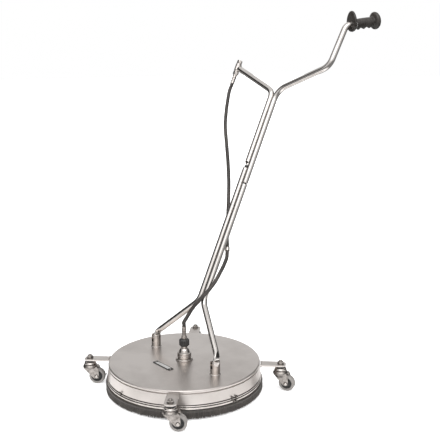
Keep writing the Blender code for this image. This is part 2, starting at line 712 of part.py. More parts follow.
def grip_direction():
    """GRIP_BACK seen in the handle's own leaning axes."""
    return Euler((math.radians(LEAN), 0.0, 0.0)).to_matrix() @ Vector(GRIP_BACK).normalized()


GRIP_CORNER_LOW = Vector(
    (GRIP_REACH, 0.0, BRANCH_CORNER_RIGHT[2] + (GRIP_REACH - TUBE_OFFSET) * math.tan(math.radians(GRIP_BRANCH_RISE)))
)
GRIP_CORNER_HIGH = GRIP_CORNER_LOW + Vector((0.012, 0.0, GRIP_RISE))


def grip_branch():
    """Right upper tube: domed foot beside the left leg, bent out, up and back to the grip."""
    dome = [(-TUBE_RADIUS * math.cos(math.radians(a)), math.sin(math.radians(a))) for a in (10.0, 35.0, 60.0)]
    foot = Vector((TUBE_OFFSET, 0.0, FOLD_ALONG - LAP_DOWN + TUBE_RADIUS))
    end = GRIP_CORNER_HIGH + grip_direction() * GRIP_TUBE_END
    path = bent_path(
        [foot, BRANCH_CORNER_RIGHT, GRIP_CORNER_LOW, GRIP_CORNER_HIGH, end], (0.060, 0.045, 0.030)
    )
    caps = [foot + Vector((0.0, 0.0, drop)) for drop, _ in dome]
    sizes = [(TUBE_RADIUS * share,) * 2 for _, share in dome] + [(TUBE_RADIUS,) * 2] * len(path)
    mesh = tube_mesh("upper_tube_right", in_fold(caps + path), (1.0, 0.0, 0.0), sizes, bore_from=len(dome))
    place("upper_tube_right", joined_mesh("upper_tube_right", mesh, [], [fold_hole(0.0)]), BRIGHT, FOLD)


def grip():
    """Moulded grip with an oval guard, finger hollows underneath and a flared end."""
    start = GRIP_CORNER_HIGH + grip_direction() * 0.018
    ahead = grip_direction()
    up = Euler((math.radians(LEAN), 0.0, 0.0)).to_matrix() @ Vector((0.0, 0.0, 1.0))
    up = (up - ahead * up.dot(ahead)).normalized()
    bore = TUBE_RADIUS / math.cos(math.pi / SIDES) + GAP
    outline = [
        (0.000, 0.027, 0.042, 0.023), (0.003, 0.029, 0.044, 0.025), (0.008, 0.029, 0.044, 0.025),
        (0.011, 0.020, 0.022, 0.020), (0.018, 0.017, 0.0165, 0.021), (0.028, 0.0165, 0.016, 0.0165),
        (0.038, 0.0165, 0.016, 0.0195), (0.048, 0.016, 0.0155, 0.0160), (0.058, 0.016, 0.0155, 0.0185),
        (0.068, 0.0155, 0.015, 0.0155), (0.078, 0.0155, 0.0155, 0.0175), (0.086, 0.017, 0.017, 0.0165),
        (0.092, 0.026, 0.029, 0.026), (0.097, 0.028, 0.031, 0.028), (0.103, 0.027, 0.030, 0.027),
        (GRIP_LENGTH + 0.004, 0.021, 0.023, 0.021),
    ]
    across = ahead.cross(up)
    rings = []
    for along, wide, above, below in outline:
        ring_points = []
        for k in range(SIDES):
            angle = 2 * math.pi * (k + 0.5) / SIDES
            height = math.sin(angle) * (above if math.sin(angle) > 0 else below)
            ring_points.append(start + ahead * along + across * math.cos(angle) * wide + up * height)
        rings.append(ring_points)
    for along in (GRIP_LENGTH + 0.004, 0.0):
        rings.append(
            [
                start + ahead * along
                + across * math.cos(2 * math.pi * (k + 0.5) / SIDES) * bore
                + up * math.sin(2 * math.pi * (k + 0.5) / SIDES) * bore
                for k in range(SIDES)
            ]
        )
    rings = [in_fold(points) for points in rings]
    place("grip", rings_mesh("grip", rings, True), PLASTIC, FOLD)
    plug_start = start + ahead * (GRIP_LENGTH + 0.004 + GAP)
    plug_rings = [
        [
            plug_start + ahead * along + (across * math.cos(2 * math.pi * k / SIDES)
            + up * math.sin(2 * math.pi * k / SIDES)) * radius
            for k in range(SIDES)
        ]
        for along, radius in ((0.0, 0.0125), (0.002, 0.0125), (0.0035, 0.0095))
    ]
    place("grip_plug", rings_mesh("grip_plug", [in_fold(points) for points in plug_rings], False), BRIGHT, FOLD)


# ---------------------------------------------------------------- hose fitting on the handle
INLET_RADIUS = 0.011
INLET_ALONG = BRANCH_CORNER_LEFT[2] + (INLET_REACH - TUBE_OFFSET) * math.tan(math.radians(HOSE_BRANCH_RISE))
NUT_FOOT = INLET_ALONG - 0.030
FERRULE_FOOT = NUT_FOOT - 0.036


def inlet():
    spot = (-INLET_REACH, 0.0, -FOLD_ALONG)
    low = INLET_ALONG - 0.013
    high = INLET_ALONG + 0.014
    body = [
        (0.0, high + 0.002), (0.0085, high + 0.002), (0.0085, high), (INLET_RADIUS - 0.001, high),
        (INLET_RADIUS, high - 0.001), (INLET_RADIUS, low + 0.001), (INLET_RADIUS - 0.001, low), (0.0, low),
    ]
    nut = prism_mesh("nut", 0.0100, high + 0.001, high + 0.014, 6)
    bore = prism_mesh("bore", 0.0050, INLET_ALONG, high + 0.03, SMALL_STEPS)
    mesh = joined_mesh("inlet_fitting", turned_mesh("inlet", body), [nut], [bore])
    place("inlet_fitting", mesh, BRIGHT, FOLD, spot)
    profile = [
        (0.0, low - GAP), (0.0085, low - GAP), (0.0085, NUT_FOOT), (0.0078, NUT_FOOT - 0.001),
        (0.0078, FERRULE_FOOT + 0.002), (0.0070, FERRULE_FOOT), (0.0, FERRULE_FOOT),
    ]
    nut = prism_mesh("nut", 0.0105, NUT_FOOT, low - 0.002, 6)
    mesh = joined_mesh("hose_ferrule_upper", turned_mesh("ferrule", profile), [nut])
    place("hose_ferrule_upper", mesh, BRIGHT, FOLD, spot)


# ---------------------------------------------------------------- hose and its clip
# Route points in the deck's axes, chosen by hand. The two runs meet in the clip.
UPPER_ROUTE = (
    (-0.2360, 0.4080, 0.9920), (-0.2260, 0.3910, 0.9580), (-0.2100, 0.3700, 0.9180),
    (-0.1870, 0.3460, 0.8660), (-0.1560, 0.3260, 0.8030), (-0.1240, 0.3050, 0.7420),
    (-0.0940, 0.2830, 0.6800), (-0.0660, 0.2580, 0.6220), (-0.0400, 0.2320, 0.5650),
    (-0.0150, 0.2070, 0.5090),
)
LOWER_ROUTE = (
    (0.0210, 0.1740, 0.4330), (0.0255, 0.1570, 0.4100), (0.0290, 0.1370, 0.3880),
    (0.0320, 0.1130, 0.3620), (0.0300, 0.0880, 0.3380), (0.0215, 0.0690, 0.3170),
    (0.0110, 0.0520, 0.2970), (0.0030, 0.0330, 0.2730), (-0.0010, 0.0150, 0.2480),
)
CURVE_STEPS = 2


def leaning(point):
    """A point on the handle at rest, in the deck's axes."""
    turn = Euler((math.radians(-LEAN), 0.0, 0.0)).to_matrix()
    return turn @ Vector(point) + Vector((0.0, 0.0, PIVOT_HEIGHT))


CLIP_CENTRE = leaning((TUBE_OFFSET, CLIP_BEHIND, CLIP_ALONG))
CLIP_DIRECTION = (Vector(LOWER_ROUTE[0]) - Vector(UPPER_ROUTE[-1])).normalized()


def smooth_route(points):
    """Catmull-Rom curve through the points, CURVE_STEPS to each stretch."""
    padded = [points[0] * 2 - points[1]] + points + [points[-1] * 2 - points[-2]]
    route = []
    for i in range(1, len(padded) - 2):
        a, b, c, d = padded[i - 1 : i + 3]
        for k in range(CURVE_STEPS):
            t = k / CURVE_STEPS
            route.append(
                0.5 * (2 * b + (c - a) * t + (2 * a - 5 * b + 4 * c - d) * t * t + (3 * b - a - 3 * c + d) * t ** 3)
            )
    route.append(points[-1])
    return route


def hose(name, points):
    curve = bpy.data.curves.new(name, "CURVE")
    curve.dimensions = "3D"
    curve.bevel_depth = HOSE_RADIUS
    curve.bevel_resolution = 2
    curve.use_fill_caps = True
    spline = curve.splines.new("POLY")
    spline.points.add(len(points) - 1)
    for node, point in zip(spline.points, points):
        node.co = (*point, 1.0)
    place(name, curve, RUBBER, ROOT)


def hoses():
    along = leaning((0.0, 0.0, 1.0)) - leaning((0.0, 0.0, 0.0))
    leave = leaning((-INLET_REACH, 0.0, FERRULE_FOOT)) - along * GAP
    upper = [leave, leave - along * 0.006, leave - along * 0.012] + [Vector(point) for point in UPPER_ROUTE]
    upper += [CLIP_CENTRE - CLIP_DIRECTION * (GAP / 2 + back) for back in (0.014, 0.007, 0.0)]
    hose("hose_upper", smooth_route(upper))
    start = Vector((0.0, 0.0, FERRULE_TOP + GAP))
    lower = [CLIP_CENTRE + CLIP_DIRECTION * (GAP / 2 + on) for on in (0.0, 0.007, 0.014)]
    lower += [Vector(point) for point in LOWER_ROUTE]
    lower += [start + Vector((0.0, 0.0, rise)) for rise in (0.014, 0.007, 0.0)]
    hose("hose_lower", smooth_route(lower))


def hose_clip():
    """A ring round the hose on a foot that stands on the right leg."""
    half = 0.006
    inner = HOSE_RADIUS + 0.0006
    outer = inner + 0.002
    profile = [(inner, half), (outer, half), (outer, -half), (inner, -half)]
    turn = Euler((math.radians(LEAN), 0.0, 0.0)).to_matrix()
    way = (turn @ CLIP_DIRECTION).to_track_quat("Z", "Y").to_euler()
    spot = (TUBE_OFFSET, CLIP_BEHIND, CLIP_ALONG)
    band = turned_round(turned_mesh("clip_band", profile, SMALL_STEPS, True), way, spot)
    low = (TUBE_OFFSET - 0.004, TUBE_RADIUS + 2 * GAP, CLIP_ALONG - half)
    high = (TUBE_OFFSET + 0.004, CLIP_BEHIND - inner - 0.0007, CLIP_ALONG + half)
    place("hose_clip", joined_mesh("hose_clip", band, [box_mesh("foot", low, high)]), BRIGHT, HANDLE)


# ---------------------------------------------------------------- assembly
def build():
    deck_housing()
    bands_and_brush()
    band_clamp()
    name_plate()
    swivel()
    rotor()
    castors()
    sockets()
    leg("leg_left", -1, LEFT_LEG_TOP)
    leg("leg_right", 1, RIGHT_LEG_TOP)
    fold_bolt()
    hose_branch()
    grip_branch()
    grip()
    inlet()
    hoses()
    hose_clip()


build()
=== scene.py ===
import json
import math

import bpy
import numpy as np
from mathutils import Matrix, Vector


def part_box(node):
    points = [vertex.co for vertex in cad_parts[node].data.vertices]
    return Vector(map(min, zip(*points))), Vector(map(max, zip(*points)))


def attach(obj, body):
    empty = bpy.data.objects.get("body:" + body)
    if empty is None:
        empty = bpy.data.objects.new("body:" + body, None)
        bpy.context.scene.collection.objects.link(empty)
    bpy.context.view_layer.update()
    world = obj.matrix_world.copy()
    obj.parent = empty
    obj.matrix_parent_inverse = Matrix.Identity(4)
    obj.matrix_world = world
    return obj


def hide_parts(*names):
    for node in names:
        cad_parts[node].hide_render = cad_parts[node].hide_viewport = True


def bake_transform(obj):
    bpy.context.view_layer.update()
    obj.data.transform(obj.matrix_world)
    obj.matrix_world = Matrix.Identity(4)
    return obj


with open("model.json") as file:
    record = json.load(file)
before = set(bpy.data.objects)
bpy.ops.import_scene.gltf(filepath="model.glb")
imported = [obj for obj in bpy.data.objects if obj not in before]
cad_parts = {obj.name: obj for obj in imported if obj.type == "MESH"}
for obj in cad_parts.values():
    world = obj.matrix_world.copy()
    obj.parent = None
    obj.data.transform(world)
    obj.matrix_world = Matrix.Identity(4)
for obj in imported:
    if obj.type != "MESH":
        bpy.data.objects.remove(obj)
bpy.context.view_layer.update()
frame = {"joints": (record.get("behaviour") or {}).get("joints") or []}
JOINTS = {joint["name"]: joint for joint in frame["joints"]}

# ------------------------------------------------------------------ studio
# A white sweep with soft boxes round it. The camera stands a little above the handle's middle,
# in front of the machine and on its grip side. Polished steel mirrors the sky here and not the
# lamps: a lit backdrop, a dark room on both sides, and wide bright screens towards the camera.
deck_low, deck_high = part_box("deck_housing")
DECK = np.array([(deck_low.x + deck_high.x) / 2, (deck_low.y + deck_high.y) / 2, 0.0])
DECK_TOP = deck_high.z

camera = bpy.data.objects.new("camera", bpy.data.cameras.new("camera"))
bpy.context.scene.collection.objects.link(camera)
bpy.context.scene.camera = camera
camera.data.sensor_width = 36.0
camera.data.lens = 63.61
camera.data.clip_end = 60.0
view_right = Vector((0.644986, 0.764193, -0.001127)).normalized()
view_ahead = Vector((-0.747423, 0.630525, -0.209285)).normalized()
view_up = view_right.cross(view_ahead)
turn = Matrix((view_right, view_up, -view_ahead)).transposed().to_4x4()
turn.translation = Vector((2.01302, -1.53628, 1.13082)) + Vector(DECK)
camera.matrix_world = turn

bpy.context.scene.view_settings.view_transform = "Standard"


def soft_box(name, place, target, size, power):
    lamp = bpy.data.lights.new(name, "AREA")
    lamp.shape = "RECTANGLE"
    lamp.size, lamp.size_y = size
    lamp.energy = power
    made = bpy.data.objects.new(name, lamp)
    bpy.context.scene.collection.objects.link(made)
    made.location = place
    made.visible_glossy = False
    made.rotation_euler = (Vector(target) - Vector(place)).to_track_quat("-Z", "Y").to_euler()


soft_box("overhead", (0.3, -0.4, 3.2), (0.0, 0.0, 0.2), (2.2, 2.2), 40.0)
soft_box("left_bank", (-1.2, -2.6, 1.7), (0.0, 0.0, 0.5), (0.9, 2.2), 26.0)
soft_box("right_bank", (2.9, 1.0, 1.7), (0.0, 0.1, 0.5), (0.7, 2.2), 20.0)
soft_box("front_bank", (2.9, -2.3, 2.1), (0.0, 0.0, 0.5), (1.4, 1.2), 18.0)


def node(tree, kind, inputs=(), **settings):
    """A shader node. inputs holds values or sockets, by the input's name or its number."""
    made = tree.nodes.new("ShaderNode" + kind)
    for key, value in settings.items():
        setattr(made, key, value)
    for key, value in dict(inputs).items():
        if isinstance(value, bpy.types.NodeSocket):
            tree.links.new(value, made.inputs[key])
        else:
            made.inputs[key].default_value = value
    return made


world = bpy.data.worlds.new("sweep")
world.use_nodes = True
bpy.context.scene.world = world
tree = world.node_tree
tree.nodes.clear()
direction = node(tree, "TexCoord").outputs["Generated"]
facing = node(tree, "VectorMath", {0: direction, 1: (0.764, -0.645, 0.0)}, operation="DOT_PRODUCT").outputs["Value"]
height = node(tree, "SeparateXYZ", {0: direction}).outputs["Z"]
room = node(tree, "ValToRGB", {0: node(tree, "MapRange", {0: facing, 1: -1.0, 2: 1.0}).outputs[0]})
room.color_ramp.interpolation = "EASE"
stops = ((0.0, 0.84), (0.045, 0.80), (0.12, 0.035), (0.56, 0.035), (0.72, 0.62), (0.84, 0.80), (1.0, 0.66))
for stop, light in stops[1:-1]:
    room.color_ramp.elements.new(stop).color = (light, light, light, 1.0)
for element, (_, light) in zip((room.color_ramp.elements[0], room.color_ramp.elements[-1]), (stops[0], stops[-1])):
    element.color = (light, light, light, 1.0)
screen = node(tree, "VectorMath", {0: direction, 1: (0.535, -0.452, 0.714)}, operation="DOT_PRODUCT").outputs["Value"]
screen = node(tree, "MapRange", {0: screen, 1: 0.80, 2: 0.95, 3: 0.0, 4: 1.20}, interpolation_type="SMOOTHSTEP").outputs[0]
above = node(tree, "MapRange", {0: height, 1: 0.46, 2: 0.68, 3: 0.0, 4: 0.72}, interpolation_type="SMOOTHSTEP").outputs[0]
extra = node(tree, "Math", {0: screen, 1: above}, operation="ADD").outputs[0]
shade = node(tree, "VectorMath", {0: room.outputs[0], 1: extra}, operation="ADD")
is_seen = node(tree, "LightPath").outputs["Is Camera Ray"]
colour = node(tree, "Mix", {0: is_seen, 6: shade.outputs[0], 7: (1.0, 1.0, 1.0, 1.0)}, data_type="RGBA")
sky = node(tree, "Background", {"Color": colour.outputs[2], "Strength": 1.0})
tree.links.new(sky.outputs[0], node(tree, "OutputWorld").inputs[0])

floor_mesh = bpy.data.meshes.new("floor")
reach = 30.0
floor_mesh.from_pydata(
    [(-reach, -reach, 0.0), (reach, -reach, 0.0), (reach, reach, 0.0), (-reach, reach, 0.0)], [], [(0, 1, 2, 3)]
)
floor = bpy.data.objects.new("floor", floor_mesh)
bpy.context.scene.collection.objects.link(floor)
paper = bpy.data.materials.new("white_sweep")
paper.use_nodes = True
paper_shader = paper.node_tree.nodes["Principled BSDF"]
paper_shader.inputs["Base Color"].default_value = (0.86, 0.86, 0.86, 1.0)
paper_shader.inputs["Roughness"].default_value = 0.9
paper_shader.inputs["Specular IOR Level"].default_value = 0.1
paper_shader.inputs["Emission Color"].default_value = (1.0, 1.0, 1.0, 1.0)
tree = paper.node_tree
place = node(tree, "TexCoord").outputs["Object"]
distance = node(tree, "VectorMath", {0: place, 1: tuple(DECK)}, operation="DISTANCE").outputs["Value"]
glow = node(tree, "MapRange", {0: distance, 1: 0.7, 2: 3.2, 3: 0.42, 4: 1.0}).outputs[0]
seen = node(tree, "LightPath").outputs["Is Camera Ray"]
glow = node(tree, "Mix", {0: seen, 2: 0.16, 3: glow}).outputs[0]
tree.links.new(glow, paper_shader.inputs["Emission Strength"])
spread = node(tree, "MapRange", {0: distance, 1: 0.65, 2: 1.3, 3: 0.86, 4: 0.06}, interpolation_type="SMOOTHSTEP")
grey = node(tree, "Mix", {0: seen, 2: spread.outputs[0], 3: 0.86}).outputs[0]
tree.links.new(grey, paper_shader.inputs["Base Color"])
floor_mesh.materials.append(paper)


# ------------------------------------------------------------------ feed hose
# A wire-braided pressure hose, 13 mm over its rubber cover. It runs from the rotary union up to
# a ring on the right leg, and on to the fitting on the left branch. Two lengths meet in the ring.
def unit(vectors):
    return vectors / np.linalg.norm(vectors, axis=-1, keepdims=True)


def swept(path, section, facing):
    """A section carried along a path. Its x lies across the path towards facing, and its y is
    square to both, so the skin never twists."""
    ahead = unit(np.gradient(path, axis=0))
    across = unit(facing - (ahead @ facing)[:, None] * ahead)
    square = np.cross(ahead, across)
    return path[:, None] + section[..., :1] * across[:, None] + section[..., 1:] * square[:, None]


def ring(radius, count):
    """Points round a circle. A column of radii gives a circle for each."""
    angle = 2 * math.pi * np.arange(count) / count
    return np.stack([radius * np.cos(angle), radius * np.sin(angle)], -1)


def shell_faces(grid, looped):
    """Corner numbers and lengthwise and roundwise distances of the quads of one grid."""
    rows, columns = grid.shape[:2]
    i, j = np.meshgrid(np.arange(rows if looped else rows - 1), np.arange(columns), indexing="ij")
    step_i = np.stack([i, i, i + 1, i + 1], -1).reshape(-1, 4)
    step_j = np.stack([j, j + 1, j + 1, j], -1).reshape(-1, 4)
    corners = (step_i % rows) * columns + step_j % columns
    around = np.linalg.norm(np.diff(grid, axis=1, append=grid[:, :1]), axis=-1).sum(1).mean() / columns
    lengths = np.linalg.norm(np.diff(grid, axis=0, append=grid[:1]), axis=-1).mean(1)
    along = np.concatenate([[0.0], np.cumsum(lengths)])
    return corners, np.stack([along[step_i], step_j * around], -1)


def encloses(points, corners):
    """The volume inside the quads, negative where they face inwards."""
    a, b, c, d = (points[corners[:, k]] - points.mean(0) for k in range(4))
    return (np.cross(a, b) * c).sum() + (np.cross(a, c) * d).sum()


def piece(name, finish, shells, body=None, replaces=(), crease=38.0):
    """One piece from closed skins. A shell is a grid of points, or a stack of like grids, and
    (grid, True) is one whose last row joins its first. Open ends are shut with a flat face."""
    points, quads, maps, caps, start = [], [], [], [], 0
    for shell in shells:
        grid, looped = shell if isinstance(shell, tuple) else (shell, False)
        stack = grid if grid.ndim == 4 else grid[None]
        count, rows, columns = stack.shape[:3]
        corners, lengths = shell_faces(stack[0], looped)
        if encloses(stack[0].reshape(-1, 3), corners) < 0:
            corners, lengths, outward = corners[:, ::-1], lengths[:, ::-1], False
        else:
            outward = True
        offsets = start + np.arange(count) * rows * columns
        points.append(stack.reshape(-1, 3))
        quads.append((offsets[:, None, None] + corners).reshape(-1, 4))
        maps.append(np.tile(lengths, (count, 1, 1)).reshape(-1, 2))
        if not looped:
            first = np.arange(columns)[:: -1 if outward else 1]
            last = (rows - 1) * columns + np.arange(columns)[:: 1 if outward else -1]
            caps += [end for offset in offsets for end in ((offset + first).tolist(), (offset + last).tolist())]
        start += count * rows * columns
    mesh = bpy.data.meshes.new(name)
    mesh.from_pydata(np.concatenate(points), [], np.concatenate(quads).tolist() + caps)
    coordinates = np.concatenate(maps)
    padding = np.zeros((sum(map(len, caps)), 2))
    layer = mesh.uv_layers.new(name="lengths")
    layer.data.foreach_set("uv", np.concatenate([coordinates, padding]).astype(np.float32).ravel())
    mesh.shade_smooth()
    mesh.set_sharp_from_angle(angle=math.radians(crease))
    mesh.materials.append(finish)
    made = bpy.data.objects.new(name, mesh)
    bpy.context.scene.collection.objects.link(made)
    if body:
        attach(made, body)
    if replaces:
        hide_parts(*([replaces] if isinstance(replaces, str) else replaces))
    return made


def material(name, colour, roughness, metallic=0.0):
    """A new material: (its node tree, its shader)."""
    made = bpy.data.materials.new(name)
    made.use_nodes = True
    shader = made.node_tree.nodes["Principled BSDF"]
    shader.inputs["Base Color"].default_value = (*colour, 1.0)
    shader.inputs["Roughness"].default_value = roughness
    shader.inputs["Metallic"].default_value = metallic
    return made, made.node_tree, shader


def node_group(name, takes, gives):
    """A shader node group: (group, its inputs' sockets, a function that feeds its outputs)."""
    made = bpy.data.node_groups.new(name, "ShaderNodeTree")
    for label, kind, value in takes:
        made.interface.new_socket(label, in_out="INPUT", socket_type=kind).default_value = value
    for label, kind in gives:
        made.interface.new_socket(label, in_out="OUTPUT", socket_type=kind)
    inner = made.nodes.new("NodeGroupInput").outputs
    outer = made.nodes.new("NodeGroupOutput").inputs

    def feed(**sockets):
        for label, socket in sockets.items():
            made.links.new(socket, outer[label])

    return made, inner, feed


FLOAT, COLOUR, POINT = "NodeSocketFloat", "NodeSocketColor", "NodeSocketVector"

# Handling marks: a mask of soft cloudy patches, and one of fine short scratches.
marks, taken, give = node_group(
    "handling_marks",
    [("Place", POINT, (0.0, 0.0, 0.0)), ("Patch Size", FLOAT, 12.0), ("Scratch Size", FLOAT, 90.0)],
    [("Patches", FLOAT), ("Scratches", FLOAT)],
)
cloud = node(marks, "TexNoise", {"Vector": taken["Place"], "Scale": taken["Patch Size"], "Detail": 5.0, "Roughness": 0.62})
patches = node(marks, "MapRange", {0: cloud.outputs[0], 1: 0.42, 2: 0.68})
drawn = node(marks, "Mapping", {0: taken["Place"], "Rotation": (0.4, 0.9, 0.6), "Scale": (1.0, 0.06, 1.0)})
hair = node(marks, "TexNoise", {"Vector": drawn.outputs[0], "Scale": taken["Scratch Size"], "Detail": 3.0, "Roughness": 0.8})
other = node(marks, "Mapping", {0: taken["Place"], "Rotation": (1.3, 0.2, 2.1), "Scale": (0.05, 1.0, 1.0)})
hair_two = node(marks, "TexNoise", {"Vector": other.outputs[0], "Scale": taken["Scratch Size"], "Detail": 3.0, "Roughness": 0.8})
most = node(marks, "Math", {0: hair.outputs[0], 1: hair_two.outputs[0]}, operation="MAXIMUM")
scratches = node(marks, "MapRange", {0: most.outputs[0], 1: 0.68, 2: 0.78})
give(Patches=patches.outputs[0], Scratches=scratches.outputs[0])


def tone(tree, mask, low, high):
    """A number that runs from low to high with a mask."""
    return node(tree, "MapRange", {0: mask, 3: low, 4: high}).outputs[0]


def blend_colour(tree, mask, low, high):
    return node(tree, "Mix", {0: mask, 6: (*low, 1.0), 7: (*high, 1.0)}, data_type="RGBA").outputs[2]


def marked(tree, place, patch, scratch):
    used = node(tree, "Group", node_tree=marks)
    tree.links.new(place, used.inputs["Place"])
    used.inputs["Patch Size"].default_value = patch
    used.inputs["Scratch Size"].default_value = scratch
    return used.outputs["Patches"], used.outputs["Scratches"]


def bump(tree, shader, height, depth, strength=1.0):
    made = node(tree, "Bump", {"Height": height, "Distance": depth, "Strength": strength})
    tree.links.new(made.outputs[0], shader.inputs["Normal"])


# The rubber cover shows the braid's diamonds faintly, and picks up grey dust.
HOSE_COVER, tree, shader = material("hose_cover", (0.02, 0.02, 0.02), 0.5)
lengths = node(tree, "UVMap", uv_map="lengths").outputs[0]
own = node(tree, "TexCoord").outputs["Object"]
left_hand = node(tree, "Mapping", {0: lengths, "Rotation": (0.0, 0.0, 0.62)})
right_hand = node(tree, "Mapping", {0: lengths, "Rotation": (0.0, 0.0, -0.62)})
lay_one = node(tree, "TexWave", {"Vector": left_hand.outputs[0], "Scale": 105.0})
lay_two = node(tree, "TexWave", {"Vector": right_hand.outputs[0], "Scale": 105.0})
braid = node(tree, "Math", {0: lay_one.outputs[1], 1: lay_two.outputs[1]}, operation="MAXIMUM").outputs[0]
patches, scratches = marked(tree, own, 26.0, 140.0)
tree.links.new(blend_colour(tree, patches, (0.022, 0.0185, 0.0165), (0.058, 0.050, 0.045)), shader.inputs["Base Color"])
tree.links.new(tone(tree, patches, 0.40, 0.62), shader.inputs["Roughness"])
bump(tree, shader, braid, 0.00035, 0.5)

HOSE_RADIUS = 0.0065
GAP = 0.0003
# The handle's own axes: its hinge, the way up it, and square off its back.
HINGE = np.array(JOINTS["handle_tilt"]["pos_m"])
FOLD = np.array(JOINTS["handle_fold"]["pos_m"])
UP_HANDLE = unit(FOLD - HINGE)
ACROSS = np.array([1.0, 0.0, 0.0])
BEHIND = np.cross(UP_HANDLE, ACROSS)
FOLD_ALONG = float(np.linalg.norm(FOLD - HINGE))


def on_handle(points):
    """Points given as (across, behind, up the handle) from the middle of its hinge."""
    points = np.asarray(points, float)
    return HINGE + points[..., :1] * ACROSS + points[..., 1:2] * BEHIND + points[..., 2:] * UP_HANDLE


UPPER_ROUTE = (
    (-0.2360, 0.4080, 0.9920), (-0.2260, 0.3910, 0.9580), (-0.2100, 0.3700, 0.9180),
    (-0.1870, 0.3460, 0.8660), (-0.1560, 0.3260, 0.8030), (-0.1240, 0.3050, 0.7420),
    (-0.0940, 0.2830, 0.6800), (-0.0660, 0.2580, 0.6220), (-0.0400, 0.2320, 0.5650),
    (-0.0150, 0.2070, 0.5090),
)
LOWER_ROUTE = (
    (0.0210, 0.1740, 0.4330), (0.0255, 0.1570, 0.4100), (0.0290, 0.1370, 0.3880),
    (0.0320, 0.1130, 0.3620), (0.0300, 0.0880, 0.3380), (0.0215, 0.0690, 0.3170),
    (0.0110, 0.0520, 0.2970), (0.0030, 0.0330, 0.2730), (-0.0010, 0.0150, 0.2480),
)
CLIP = on_handle((0.01065, 0.025, 0.376))
CLIP_WAY = unit(np.array(LOWER_ROUTE[0]) - np.array(UPPER_ROUTE[-1]))
INLET = (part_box("inlet_fitting")[0].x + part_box("inlet_fitting")[1].x) / 2 - DECK[0]
SWIVEL_FERRULE_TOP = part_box("hose_ferrule_lower")[1].z


def smooth_route(points, steps=10):
    """A Catmull-Rom curve through the points: each stretch is a cubic whose end slopes are half
    the line between its neighbours."""
    p = np.vstack([2 * points[0] - points[1], points, 2 * points[-1] - points[-2]])
    a, b, c, d = (p[k : len(p) - 3 + k][:, None] for k in range(4))
    t = (np.arange(steps) / steps)[None, :, None]
    curve = 0.5 * (2 * b + (c - a) * t + (2 * a - 5 * b + 4 * c - d) * t**2 + (3 * b - a - 3 * c + d) * t**3)
    return np.vstack([curve.reshape(-1, 3), points[-1]])


def hose_run(name, route, replaced):
    """The route's skin, with both ends shut."""
    made = piece(name, HOSE_COVER, [swept(route, ring(HOSE_RADIUS, 28), BEHIND)])
    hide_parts(replaced)
    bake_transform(made)


INLET_ALONG = 1.05019
FERRULE_FOOT = INLET_ALONG - 0.066
upper_leave = on_handle((INLET, 0.0, FERRULE_FOOT - GAP))
steps = np.array([0.0, 0.006, 0.012])
into_clip = CLIP - CLIP_WAY * (GAP / 2 + np.array([0.014, 0.007, 0.0]))[:, None]
upper_run = np.vstack([upper_leave - UP_HANDLE * steps[:, None], DECK + np.array(UPPER_ROUTE), into_clip + 0.0])
out_of_clip = CLIP + CLIP_WAY * (GAP / 2 + np.array([0.0, 0.007, 0.014]))[:, None]
union_top = DECK + np.array([0.0, 0.0, SWIVEL_FERRULE_TOP + GAP])
onto_union = union_top + np.array([0.0, 0.0, 1.0]) * np.array([0.014, 0.007, 0.0])[:, None]
lower_run = np.vstack([out_of_clip, DECK + np.array(LOWER_ROUTE), onto_union])
UPPER_HOSE = smooth_route(upper_run)
LOWER_HOSE = smooth_route(lower_run)[::-1]
hose_run("hose_lower_run", LOWER_HOSE, "hose_lower")
hose_run("hose_upper_run", UPPER_HOSE[::-1], "hose_upper")

# ------------------------------------------------------------------ deck pan
# A shallow pan spun from 2 mm stainless sheet. Its top disc has a rolled edge, with a narrow
# recess under it before the skirt begins. The skirt flares a little towards its foot.
def rounded(points, radius, steps=4, looped=False, hold=0.0006):
    """Each corner becomes an arc of its radius, a rational quadratic whose middle weight is the
    cosine of half the turn. A held point before and after it keeps the faces beside it flat."""
    p = np.asarray(points, float)
    back, ahead = np.roll(p, 1, 0) - p, np.roll(p, -1, 0) - p
    long_back, long_ahead = (np.maximum(np.linalg.norm(v, axis=1), 1e-9) for v in (back, ahead))
    back, ahead = back / long_back[:, None], ahead / long_ahead[:, None]
    half = (math.pi - np.arccos(np.clip((back * ahead).sum(1), -1.0, 1.0))) / 2
    room = 0.48 * np.minimum(long_back, long_ahead)
    cut = np.minimum(np.broadcast_to(radius, len(p)) * np.tan(np.minimum(half, 1.5)), room)
    a, b = p + back * cut[:, None], p + ahead * cut[:, None]
    t = np.linspace(0.0, 1.0, steps + 1)[None, :, None]
    weight = 2 * t * (1 - t) * np.cos(half)[:, None, None]
    shares = (1 - t) ** 2 + weight + t**2
    arc = ((1 - t) ** 2 * a[:, None] + weight * p[:, None] + t**2 * b[:, None]) / shares
    held = np.minimum(cut + hold, room + 1e-5)[:, None]
    arc = np.concatenate([(p + back * held)[:, None], arc, (p + ahead * held)[:, None]], 1)
    if looped:
        line = arc.reshape(-1, p.shape[1])
        line = line[np.linalg.norm(line - np.roll(line, 1, 0), axis=1) > 2e-6]
        return line
    line = np.vstack([p[:1], arc[1:-1].reshape(-1, p.shape[1]), p[-1:]])
    return line[np.concatenate([[True], np.linalg.norm(np.diff(line, axis=0), axis=1) > 2e-6])]


def turned(profile, columns=96):
    """A profile of (radius, height) carried round the axis: x = r cos a, y = r sin a, z = h."""
    angle = 2 * math.pi * np.arange(columns) / columns
    radius, height = np.asarray(profile, float).T[:, :, None]
    return np.stack([radius * np.cos(angle), radius * np.sin(angle), height + 0 * angle], -1)


def spun(profile, radius=0.0005, columns=96, steps=4):
    """A ring, or any turned wall that closes on itself."""
    return turned(rounded(profile, radius, steps, looped=True), columns), True


def solid_turned(profile, radius=0.0005, columns=96, steps=4):
    return turned(rounded(profile, radius, steps), columns)


